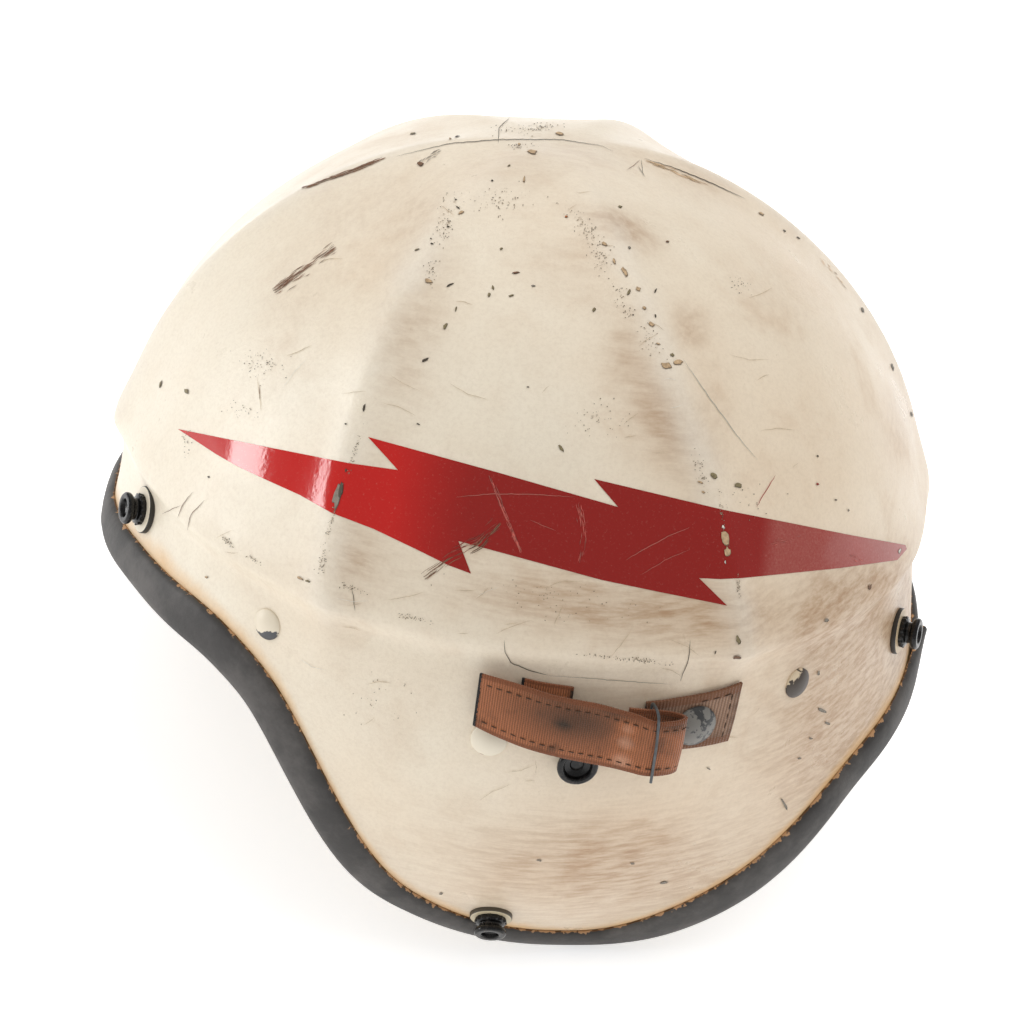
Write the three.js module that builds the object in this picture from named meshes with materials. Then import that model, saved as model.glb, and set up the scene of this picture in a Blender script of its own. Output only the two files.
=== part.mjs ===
// Hard-shell helmet with six moulded ribs, a rubber edging, press studs and a goggle strap at the back.
// Millimetres, +Z up, face towards -Y, nape towards +Y, the wearer's left towards +X.
// The helmet stands on the edging at its nape and at its brow, as it does when it is put down.
//
// Places on the shell are given on its own wall: an azimuth in degrees, counted from the nape
// towards the wearer's left, a fall in millimetres down the wall from the shoulder line under the
// dome, and a lift in millimetres straight out from the wall.

import * as THREE from 'three';

// Driving sizes of the shell
const halfWidth = 125.5;          // centre line to side, at the shoulder line
const rearReach = 127;            // centre to nape, at the shoulder line
const frontReach = 135.5;         // centre to brow, at the shoulder line
const crownHeight = 210.7;        // above the helmet's own base plane
const shoulderHeight = 105.6;     // the shoulder line's mean height
const shoulderRise = 12;          // by which the shoulder line climbs from the side to the brow
const crownOffset = 3.9;          // by which the crown lies to the left of the centre line
const domeRoundness = { rear: 2.03, side: 1.79, front: 1.82 };
const wallThickness = 3;

// Slope of the wall below the shoulder line, outward positive, at its top and at wallRun below it
const topSlope = { rear: 4.8, side: 7.7 };
const lowSlope = { rear: -33.5, side: 11.3 };
const wallRun = 95;

// Ribs: the azimuth of each crest at the crown and at the shoulder line
const ribRows = [
  { rib: 'rear left', crownAzimuth: 39.3, shoulderAzimuth: 32 },
  { rib: 'rear right', crownAzimuth: -6.4, shoulderAzimuth: -25.5 },
  { rib: 'side left', crownAzimuth: 90, shoulderAzimuth: 90 },
  { rib: 'side right', crownAzimuth: -91, shoulderAzimuth: -91 },
  { rib: 'front left', crownAzimuth: 150, shoulderAzimuth: 150 },
  { rib: 'front right', crownAzimuth: -138, shoulderAzimuth: -149 },
];
const ribHeight = 4.4;
const ribSpread = 10.4;           // half width of a rib where it falls to three fifths
const ribCrownFade = 34;          // radius inside which the ribs melt into the crown
const ribRunOut = 15.8;           // fall below the shoulder line over which they melt into the wall

// Rim: where the paint ends, as a fall below the shoulder line, and the edging's depth past it
const rimRows = [
  { azimuth: -180, fall: 60, depth: 13 },
  { azimuth: -160, fall: 62.5, depth: 13 },
  { azimuth: -146, fall: 62, depth: 13 },
  { azimuth: -128, fall: 45, depth: 13 },
  { azimuth: -108, fall: 30, depth: 13 },
  { azimuth: -92, fall: 32.5, depth: 12.5 },
  { azimuth: -80, fall: 42.3, depth: 12.5 },
  { azimuth: -70, fall: 47.9, depth: 12.5 },
  { azimuth: -55, fall: 58.8, depth: 13.5 },
  { azimuth: -40, fall: 99.6, depth: 15 },
  { azimuth: -22, fall: 132.5, depth: 13 },
  { azimuth: 0, fall: 125.7, depth: 10.5 },
  { azimuth: 22, fall: 102.1, depth: 13.5 },
  { azimuth: 40, fall: 32.8, depth: 15.5 },
  { azimuth: 55, fall: 22.1, depth: 15.5 },
  { azimuth: 70, fall: 22.5, depth: 13.5 },
  { azimuth: 85, fall: 26, depth: 12.5 },
  { azimuth: 108, fall: 28, depth: 13 },
  { azimuth: 128, fall: 44, depth: 13 },
  { azimuth: 146, fall: 62, depth: 13 },
  { azimuth: 160, fall: 62.5, depth: 13 },
];

// Edging: a rubber channel that grips the rim, with its two ends meeting behind the right ear
const edgingFoot = 3.5;           // solid rubber past the shell's edge
const edgingLip = 2.6;            // thickness outside the wall
const edgingInnerLip = 2.1;       // thickness inside the wall
const edgingGap = 0.45;
const seamAzimuth = -82.5;
const seamGap = 0.4;              // degrees left open at the seam
const freeEndRun = 9;             // degrees over which the loose rear end peels off
const freeEndLift = 5.2;
const freeEndRise = 6;

// How the helmet stands
const standPitch = 20.3;          // degrees by which the nape is raised when it stands on its rim

// Mesh fineness
const shellColumns = 84;
const domeRings = 14;
const wallRings = 7;
const turnedSides = 16;

const radians = THREE.MathUtils.degToRad;

const shades = {
  paint: { color: 0xe6d8c3, roughness: 0.42, metalness: 0 },
  rubber: { color: 0x4a4746, roughness: 0.8, metalness: 0 },
  blackMetal: { color: 0x1f1e1e, roughness: 0.35, metalness: 0.7 },
  agedMetal: { color: 0x8d877a, roughness: 0.4, metalness: 0.8 },
  rivetMetal: { color: 0x4c4d4f, roughness: 0.5, metalness: 0.6 },
  grosgrain: { color: 0xa2603f, roughness: 0.85, metalness: 0 },
  webbing: { color: 0x8a6248, roughness: 0.9, metalness: 0 },
  wire: { color: 0x6f7376, roughness: 0.45, metalness: 0.5 },
};

function materialOf(shade) {
  return new THREE.MeshStandardMaterial(shades[shade]);
}

function wrapDegrees(angle) {
  return THREE.MathUtils.euclideanModulo(angle + 180, 360) - 180;
}

// Straight-out radius of the shoulder line, an ellipse with its widest chord off the middle
function planRadius(azimuth) {
  const side = Math.sin(radians(azimuth));
  const along = Math.cos(radians(azimuth));
  const reach = along > 0 ? rearReach : frontReach;
  return 1 / Math.hypot(side / halfWidth, along / reach);
}

function shoulderAt(azimuth) {
  return shoulderHeight - shoulderRise * Math.cos(radians(azimuth));
}

// A smooth curve through one column of the rim rows, that never overshoots them
function rimSlopes(column) {
  const count = rimRows.length;
  const steps = rimRows.map((row, i) => {
    const next = rimRows[(i + 1) % count];
    const run = i + 1 < count ? next.azimuth - row.azimuth : next.azimuth + 360 - row.azimuth;
    return { run, slope: (next[column] - row[column]) / run };
  });
  return rimRows.map((row, i) => {
    const before = steps[(i + count - 1) % count];
    const after = steps[i];
    if (before.slope * after.slope <= 0) return 0;
    const beforeShare = 2 * after.run + before.run;
    const afterShare = after.run + 2 * before.run;
    return (beforeShare + afterShare) / (beforeShare / before.slope + afterShare / after.slope);
  });
}
const slopes = { fall: rimSlopes('fall'), depth: rimSlopes('depth') };

function alongRim(column, azimuth) {
  const angle = wrapDegrees(azimuth);
  let i = rimRows.length - 1;
  while (rimRows[i].azimuth > angle) i -= 1;
  const j = (i + 1) % rimRows.length;
  const end = j === 0 ? rimRows[0].azimuth + 360 : rimRows[j].azimuth;
  const run = end - rimRows[i].azimuth;
  const t = (angle - rimRows[i].azimuth) / run;
  const rest = 1 - t;
  return rimRows[i][column] * (1 + 2 * t) * rest * rest + slopes[column][i] * run * t * rest * rest
    + rimRows[j][column] * t * t * (3 - 2 * t) - slopes[column][j] * run * t * t * rest;
}

// Height of the ribs over the smooth dome, at a dome angle from 0 at the crown to 90 at the shoulder
function ribAt(azimuth, domeAngle) {
  const way = domeAngle / 90;
  const radius = planRadius(azimuth) * Math.sin(radians(Math.max(domeAngle, 1)));
  let total = 0;
  for (const { crownAzimuth, shoulderAzimuth } of ribRows) {
    const crest = crownAzimuth + (shoulderAzimuth - crownAzimuth) * way;
    const aside = radians(wrapDegrees(azimuth - crest)) * radius;
    total += Math.exp(-0.5 * (aside / ribSpread) ** 2);
  }
  return ribHeight * total * (1 - Math.exp(-((radius / ribCrownFade) ** 2)));
}

function domePoint(azimuth, domeAngle) {
  const turn = radians(azimuth);
  const rise = radians(domeAngle);
  const along = Math.cos(turn);
  const facing = along > 0 ? domeRoundness.rear : domeRoundness.front;
  const roundness = domeRoundness.side + (facing - domeRoundness.side) * along ** 2;
  const base = shoulderAt(azimuth);
  const rib = ribAt(azimuth, domeAngle);
  const up = Math.max(Math.cos(rise), 0);
  const radius = planRadius(azimuth) * Math.sin(rise) ** (2 / roundness) + rib * Math.sin(rise);
  const height = base + (crownHeight - base) * up ** (2 / roundness) + rib * up;
  return new THREE.Vector3(radius * Math.sin(turn) + crownOffset * up ** 1.3, radius * along, height);
}

// The wall below the shoulder line is an arc in section, so a lift keeps straight out of it
function wallSection(azimuth, fall) {
  const behind = Math.cos(radians(azimuth)) > 0 ? 1 - Math.sin(radians(azimuth)) ** 4 : 0;
  const top = radians(topSlope.side + (topSlope.rear - topSlope.side) * behind);
  const low = radians(lowSlope.side + (lowSlope.rear - lowSlope.side) * behind);
  const bend = (low - top) / wallRun;
  const slope = top + bend * fall;
  const rib = ribAt(azimuth, 90) * Math.exp(-Math.max(fall, 0) / ribRunOut);
  return {
    radius: planRadius(azimuth) + (Math.cos(top) - Math.cos(slope)) / bend + rib,
    height: shoulderAt(azimuth) - (Math.sin(slope) - Math.sin(top)) / bend,
    slope,
  };
}

function wallPoint(azimuth, fall, lift = 0) {
  const { radius, height, slope } = wallSection(azimuth, fall);
  const reach = radius + lift * Math.cos(slope);
  const turn = radians(azimuth);
  return new THREE.Vector3(reach * Math.sin(turn), reach * Math.cos(turn), height + lift * Math.sin(slope));
}

// A point past the rim, square to the rim's own run along the wall
function pastRim(azimuth, past, lift) {
  const step = 0.5;
  const fall = alongRim('fall', azimuth);
  const radius = wallSection(azimuth, fall).radius;
  const run = 2 * radians(step) * radius;
  const drop = alongRim('fall', azimuth + step) - alongRim('fall', azimuth - step);
  const length = Math.hypot(run, drop);
  const aside = THREE.MathUtils.radToDeg((-drop / length) * (past / radius));
  return wallPoint(azimuth + aside, fall + (run / length) * past, lift);
}

// Closes rings of points into one body: each ring is a list, and a ring of one point is a pole
function bodyFromRings(rings, closedRing = true, closedRun = false) {
  const positions = [];
  const starts = rings.map((ring) => {
    const start = positions.length / 3;
    ring.forEach((point) => positions.push(point.x, point.y, point.z));
    return start;
  });
  const faces = [];
  const last = closedRun ? rings.length : rings.length - 1;
  for (let r = 0; r < last; r += 1) {
    const next = (r + 1) % rings.length;
    const [a, b] = [rings[r], rings[next]];
    const columns = Math.max(a.length, b.length);
    const steps = closedRing ? columns : columns - 1;
    for (let c = 0; c < steps; c += 1) {
      const d = (c + 1) % columns;
      const [a0, a1] = a.length === 1 ? [0, 0] : [c, d];
      const [b0, b1] = b.length === 1 ? [0, 0] : [c, d];
      if (a.length > 1) faces.push(starts[r] + a0, starts[next] + b0, starts[r] + a1);
      if (b.length > 1) faces.push(starts[r] + a1, starts[next] + b0, starts[next] + b1);
    }
  }
  if (!closedRun && rings[0].length > 1) faces.push(...capFaces(starts[0], rings[0].length, true));
  if (!closedRun && rings.at(-1).length > 1) faces.push(...capFaces(starts.at(-1), rings.at(-1).length, false));
  const geometry = new THREE.BufferGeometry();
  geometry.setAttribute('position', new THREE.Float32BufferAttribute(positions, 3));
  geometry.setIndex(signedVolume(positions, faces) < 0 ? flipped(faces) : faces);
  geometry.computeVertexNormals();
  return geometry;
}

function capFaces(start, count, opening) {
  const faces = [];
  for (let i = 1; i < count - 1; i += 1) {
    faces.push(...(opening ? [start, start + i, start + i + 1] : [start, start + i + 1, start + i]));
  }
  return faces;
}

function flipped(faces) {
  const turned = [];
  for (let i = 0; i < faces.length; i += 3) turned.push(faces[i], faces[i + 2], faces[i + 1]);
  return turned;
}

function signedVolume(positions, faces) {
  const at = (i) => new THREE.Vector3().fromArray(positions, i * 3);
  let six = 0;
  for (let i = 0; i < faces.length; i += 3) {
    six += at(faces[i]).dot(at(faces[i + 1]).cross(at(faces[i + 2])));
  }
  return six / 6;
}

function named(name, geometry, shade) {
  const mesh = new THREE.Mesh(geometry, materialOf(shade));
  mesh.name = name;
  return mesh;
}

// Shell

// Points of one horizontal ring; ring 0 is the crown and the last one ends inside the channel
function shellRing(ring, lift) {
  const points = [];
  for (let c = 0; c < shellColumns; c += 1) {
    const azimuth = (360 * c) / shellColumns;
    if (ring < domeRings) {
      points.push(domePoint(azimuth, (90 * ring) / domeRings));
    } else if (ring <= domeRings + wallRings) {
      points.push(wallPoint(azimuth, (alongRim('fall', azimuth) * (ring - domeRings)) / wallRings, lift));
    } else {
      points.push(pastRim(azimuth, alongRim('depth', azimuth) - edgingFoot, lift));
    }
  }
  return points;
}

function shellGeometry() {
  const outer = [[domePoint(0, 0)]];
  const inner = [[domePoint(0, 0).setZ(crownHeight - wallThickness)]];
  for (let ring = 1; ring <= domeRings + wallRings + 1; ring += 1) outer.push(shellRing(ring, 0));
  for (let ring = 1; ring < outer.length; ring += 1) {
    const inward = (point, c) => point.clone().addScaledVector(outwardOf(outer, ring, c), -wallThickness);
    inner.push(ring < domeRings ? outer[ring].map(inward) : shellRing(ring, -wallThickness));
  }
  return bodyFromRings([...outer, ...inner.reverse()]);
}

// Outward direction at a point of the shell, from its neighbours
function outwardOf(rings, r, c) {
  const ring = rings[r];
  const above = rings[r - 1];
  const from = above.length === 1 ? above[0] : above[c];
  const down = rings[r + 1][c].clone().sub(from);
  const around = ring[(c + 1) % ring.length].clone().sub(ring[(c + ring.length - 1) % ring.length]);
  return around.cross(down).normalize();
}

// Edging

// Section of the rubber channel at a depth: past the end of the paint, lift from the wall's outer
// face, and the share of the free end's peeling that each point takes
function edgingSection(depth) {
  const inside = -wallThickness - edgingGap;
  const seatPast = depth - edgingFoot + edgingGap;
  return [
    { past: 0.3, lift: edgingGap, peel: 1 },
    { past: 0.6, lift: 0.8 * edgingLip, peel: 1 },
    { past: depth / 2, lift: edgingLip, peel: 0.5 },
    { past: depth - 1.6, lift: 0.7 * edgingLip, peel: 0.05 },
    { past: depth, lift: -wallThickness / 2, peel: 0 },
    { past: depth - 1.6, lift: inside - 0.6 * edgingInnerLip, peel: 0 },
    { past: 4.5, lift: inside - edgingInnerLip, peel: 0 },
    { past: 3.4, lift: inside, peel: 0 },
    { past: seatPast, lift: inside, peel: 0 },
    { past: seatPast, lift: edgingGap, peel: 0.05 },
  ];
}

// How far the outer lip of the loose rear end has peeled off the wall, from 0 to 1 at the seam
function freeEnd(azimuth) {
  const way = THREE.MathUtils.clamp((seamAzimuth + freeEndRun - azimuth) / freeEndRun, 0, 1);
  return way * way;
}

// The same azimuths as the shell's, so that the channel's facets keep clear of the rim's
function edgingAzimuths() {
  const start = seamAzimuth + seamGap / 2;
  const end = seamAzimuth - seamGap / 2 + 360;
  const azimuths = [start];
  for (let c = -shellColumns; c <= shellColumns; c += 1) {
    const azimuth = (360 * c) / shellColumns;
    if (azimuth > start && azimuth < end) azimuths.push(azimuth);
  }
  azimuths.push(end);
  return azimuths;
}

function edgingGeometry() {
  return bodyFromRings(edgingAzimuths().map((azimuth) => {
    const loose = freeEnd(azimuth);
    return edgingSection(alongRim('depth', azimuth)).map(({ past, lift, peel }) => {
      const opened = loose * peel;
      return pastRim(azimuth, past - opened * freeEndRise, lift + opened * freeEndLift);
    });
  }));
}

// Turned and pressed hardware

// A turned body on the wall; its profile rows are radius and height, from the axis back to the axis
function turned(name, profile, shade, { azimuth, fall, lift }) {
  const rings = profile.map(([radius, height]) => {
    if (radius === 0) return [new THREE.Vector3(0, 0, height)];
    const ring = [];
    for (let i = 0; i < turnedSides; i += 1) {
      const turn = (2 * Math.PI * i) / turnedSides;
      ring.push(new THREE.Vector3(radius * Math.cos(turn), radius * Math.sin(turn), height));
    }
    return ring;
  });
  const mesh = named(name, bodyFromRings(rings), shade);
  seat(mesh, azimuth, fall, lift);
  return mesh;
}

// Stands an object on the wall, its own +Z straight out
function seat(object, azimuth, fall, lift) {
  const foot = wallPoint(azimuth, fall, lift);
  const out = wallPoint(azimuth, fall, lift + 1).sub(foot);
  object.position.copy(foot);
  object.quaternion.setFromUnitVectors(new THREE.Vector3(0, 0, 1), out.normalize());
}

const seatGap = 0.3;
const plateThickness = 1;

// Washer-like plate with a slightly raised middle, that spreads the stud's load on the shell
function platesProfile(radius) {
  return [[0, 0], [radius, 0], [radius - 0.3, 0.6], [radius * 0.62, plateThickness], [0, plateThickness]];
}

// Press stud: toothed skirt, waist, and a broad flange with a dished face and a blind socket
function studProfile({ skirt, waist, flange, height, socket }) {
  return [
    [0, 0], [skirt, 0], [skirt, 1.6], [waist, 2.2], [waist, height - 2.6], [flange - 0.5, height - 2.2],
    [flange, height - 1.4], [flange, height - 0.6], [flange - 0.6, height], [socket + 0.8, height],
    [socket, height - 0.9], [0, height - 0.9],
  ];
}

const earStud = { skirt: 4.6, waist: 3.2, flange: 5, height: 6, socket: 2.6 };
const strapStud = { skirt: 5, waist: 4, flange: 6.3, height: 4.7, socket: 3 };
const napeStud = { skirt: 4.6, waist: 3.6, flange: 5, height: 5.6, socket: 2.6 };

const studRows = [
  { name: 'ear_stud_left', azimuth: 73.5, fall: 12.3, plate: 7.4, stud: earStud },
  { name: 'ear_stud_right', azimuth: -67.2, fall: 24, plate: 7.4, stud: earStud },
  { name: 'nape_stud', azimuth: 2.3, fall: 117.2, plate: 6.7, stud: napeStud },
];

// Domed rivet head
function domeProfile(radius, height, edge) {
  const profile = [[0, 0], [radius, 0], [radius, edge]];
  for (const part of [0.86, 0.62, 0.33]) {
    profile.push([radius * part, edge + (height - edge) * (1 - part * part)]);
  }
  profile.push([0, height]);
  return profile;
}

const rivetRows = [
  { name: 'shell_rivet_left', azimuth: 41.8, fall: 16.5, radius: 4.9, height: 1.7 },
  { name: 'shell_rivet_right', azimuth: -38, fall: 18, radius: 4.9, height: 1.7 },
  { name: 'nape_rivet', azimuth: 7.8, fall: 32, radius: 5.6, height: 2.3 },
];

// Strap

const strapThickness = 1.2;

// Course of the band from its cut left end to its hem: it leans on the stud, stands off to the
// right, folds back on itself there and ends behind. Top and low are falls of its two edges.
const bandRows = [
  { azimuth: 10.2, lift: 3.7, top: 8.8, low: 25.8 },
  { azimuth: 7, lift: 4.6, top: 9.4, low: 27.8 },
  { azimuth: 3, lift: 5.4, top: 10.8, low: 30 },
  { azimuth: -1.2, lift: 6, top: 12.4, low: 31.6 },
  { azimuth: -5.5, lift: 6, top: 13.6, low: 33.2 },
  { azimuth: -8.6, lift: 6.6, top: 15.2, low: 34.2 },
  { azimuth: -10.8, lift: 7.9, top: 16.2, low: 34.8 },
  { azimuth: -13, lift: 9.7, top: 17.4, low: 35.2 },
  { azimuth: -15.4, lift: 9.9, top: 17.6, low: 35.2 },
  { azimuth: -16.9, lift: 9.2, top: 17.4, low: 35 },
  { azimuth: -17.4, lift: 7.8, top: 17.2, low: 34.9 },
  { azimuth: -16.7, lift: 6.1, top: 17, low: 34.8 },
  { azimuth: -15.2, lift: 4.9, top: 16.6, low: 34.4 },
  { azimuth: -12.6, lift: 4.5, top: 16, low: 33.8 },
  { azimuth: -10, lift: 4.5, top: 15.4, low: 33.2 },
];
// Small folded tab behind the band's top edge
const tabRows = [
  { azimuth: 4.6, lift: 1.1, top: 12.2, low: 23 },
  { azimuth: 1.2, lift: 1.2, top: 12.9, low: 24 },
  { azimuth: -2.5, lift: 1.1, top: 13.8, low: 25 },
];
// Anchor patch under the strap rivet
const patchRows = [
  { azimuth: -12.8, lift: 1.05, top: 15.2, low: 32.4 },
  { azimuth: -16.3, lift: 1.05, top: 14.6, low: 32.5 },
  { azimuth: -19.8, lift: 1.05, top: 13.8, low: 32.5 },
  { azimuth: -23.2, lift: 1.05, top: 12.6, low: 32.2 },
  { azimuth: -26.6, lift: 1.05, top: 11, low: 31.6 },
];
const patchRivet = { azimuth: -20.5, fall: 24, lift: 2, radius: 6.8, height: 2.7 };

// A flat strip through its rows, its thickness square to its own course
function stripGeometry(rows, thickness) {
  const courseAt = (row, fall) => wallPoint(row.azimuth, fall, row.lift);
  const rings = rows.map((row, i) => {
    const [before, after] = [rows[Math.max(i - 1, 0)], rows[Math.min(i + 1, rows.length - 1)]];
    const middle = (row.top + row.low) / 2;
    const along = courseAt(after, middle).sub(courseAt(before, middle)).normalize();
    const [top, low] = [courseAt(row, row.top), courseAt(row, row.low)];
    const across = low.clone().sub(top).normalize();
    const out = along.cross(across).normalize().multiplyScalar(thickness / 2);
    return [top.clone().add(out), low.clone().add(out), low.clone().sub(out), top.clone().sub(out)];
  });
  return bodyFromRings(rings);
}

// Thin wire pin hooked over the band's top edge
const pinRadius = 0.45;
const pinRows = [
  { azimuth: -13.4, fall: 20, lift: 2.8 },
  { azimuth: -13.3, fall: 15.2, lift: 2.9 },
  { azimuth: -13.2, fall: 14.2, lift: 4.4 },
  { azimuth: -13.1, fall: 14.2, lift: 8 },
  { azimuth: -13.1, fall: 15.2, lift: 10.4 },
  { azimuth: -13.2, fall: 17.8, lift: 11.1 },
  { azimuth: -13.5, fall: 27, lift: 11.2 },
  { azimuth: -13.8, fall: 37, lift: 10.9 },
];

function pinGeometry() {
  const course = pinRows.map(({ azimuth, fall, lift }) => wallPoint(azimuth, fall, lift));
  const path = new THREE.CatmullRomCurve3(course, false, 'centripetal');
  const section = new THREE.Shape();
  const sides = 6;
  for (let i = 0; i < sides; i += 1) {
    const turn = (2 * Math.PI * i) / sides;
    const [x, y] = [pinRadius * Math.cos(turn), pinRadius * Math.sin(turn)];
    if (i === 0) section.moveTo(x, y);
    else section.lineTo(x, y);
  }
  section.closePath();
  return new THREE.ExtrudeGeometry(section, { extrudePath: path, steps: 14, bevelEnabled: false });
}

// Assembly

const helmet = new THREE.Group();
helmet.add(named('shell', shellGeometry(), 'paint'));
helmet.add(named('edging', edgingGeometry(), 'rubber'));

for (const { name, azimuth, fall, plate, stud } of studRows) {
  helmet.add(turned(`${name}_plate`, platesProfile(plate), 'agedMetal', { azimuth, fall, lift: seatGap }));
  const lift = seatGap + plateThickness + 0.1;
  helmet.add(turned(name, studProfile(stud), 'blackMetal', { azimuth, fall, lift }));
}
helmet.add(turned('strap_stud', studProfile(strapStud), 'blackMetal', { azimuth: -4.5, fall: 36, lift: seatGap }));

for (const { name, azimuth, fall, radius, height } of rivetRows) {
  const profile = domeProfile(radius, height, 0.6);
  helmet.add(turned(name, profile, 'paint', { azimuth, fall, lift: seatGap }));
}
helmet.add(turned('strap_rivet', domeProfile(patchRivet.radius, patchRivet.height, 0.5), 'rivetMetal', patchRivet));

helmet.add(named('strap_band', stripGeometry(bandRows, strapThickness), 'grosgrain'));
helmet.add(named('strap_tab', stripGeometry(tabRows, strapThickness), 'grosgrain'));
helmet.add(named('strap_patch', stripGeometry(patchRows, strapThickness), 'webbing'));
helmet.add(named('strap_pin', pinGeometry(), 'wire'));

// Stands on its rim, with the origin under the middle of its box
const object = new THREE.Group();
helmet.rotation.x = radians(standPitch);
object.add(helmet);
object.updateMatrixWorld(true);
const box = new THREE.Box3().setFromObject(object, true);
const middle = box.getCenter(new THREE.Vector3());
helmet.position.set(-middle.x, -middle.y, -box.min.z);
object.updateMatrixWorld(true);

export default object;
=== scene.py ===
"""Looks of a ribbed hard-shell camera helmet, seen from behind: enamel, rubber, studs and strap.

Lengths inside the classes are millimetres in the helmet's own upright frame. The stance turns them
into the frame's metres, as the helmet stands on its nape and its brow.
"""

import logging
import math
import random
from dataclasses import dataclass, field
from enum import Enum
from typing import Callable, Iterable, Sequence

import bmesh
import bpy
from mathutils import Matrix, Vector
from mathutils.bvhtree import BVHTree


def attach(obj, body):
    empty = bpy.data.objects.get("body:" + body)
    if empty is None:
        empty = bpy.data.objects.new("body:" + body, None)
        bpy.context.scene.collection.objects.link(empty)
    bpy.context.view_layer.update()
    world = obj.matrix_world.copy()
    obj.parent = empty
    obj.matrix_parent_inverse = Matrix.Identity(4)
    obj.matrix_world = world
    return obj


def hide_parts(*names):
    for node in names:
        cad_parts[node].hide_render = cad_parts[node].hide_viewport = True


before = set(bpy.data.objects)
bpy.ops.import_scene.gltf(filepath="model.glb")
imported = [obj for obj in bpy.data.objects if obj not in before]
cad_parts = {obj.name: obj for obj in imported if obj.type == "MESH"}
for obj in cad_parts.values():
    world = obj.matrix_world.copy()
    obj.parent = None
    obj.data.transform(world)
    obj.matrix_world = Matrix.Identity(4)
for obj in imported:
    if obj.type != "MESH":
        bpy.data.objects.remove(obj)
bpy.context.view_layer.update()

log = logging.getLogger("helmet")

MILLIMETRE = 0.001
BODY = "root"

Socket = bpy.types.NodeSocket


def linear(hex_colour: str) -> tuple[float, float, float, float]:
    """Turns an sRGB hex colour into the linear colour that a socket takes.

    Args:
        hex_colour: Six hex digits, with or without a leading hash.

    Returns:
        Red, green, blue and an alpha of one.
    """
    digits = hex_colour.lstrip("#")
    shares = [int(digits[i:i + 2], 16) / 255 for i in (0, 2, 4)]
    red, green, blue = (s / 12.92 if s <= 0.04045 else ((s + 0.055) / 1.055) ** 2.4 for s in shares)
    return (red, green, blue, 1.0)


def add_node(tree: bpy.types.NodeTree, kind: str, settings: dict | None = None,
             inputs: dict | None = None) -> bpy.types.Node:
    """Adds one node with its settings and its input values or links.

    Args:
        tree: The node tree that gets the node.
        kind: The node's Blender type name.
        settings: Attribute names and values.
        inputs: Socket names or numbers, each with a value or with the output socket to link.

    Returns:
        The new node.
    """
    node = tree.nodes.new(kind)
    for key, value in (settings or {}).items():
        setattr(node, key, value)
    for key, value in (inputs or {}).items():
        socket = node.inputs[key]
        if isinstance(value, bpy.types.NodeSocket):
            tree.links.new(value, socket)
        else:
            socket.default_value = value
    return node


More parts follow.
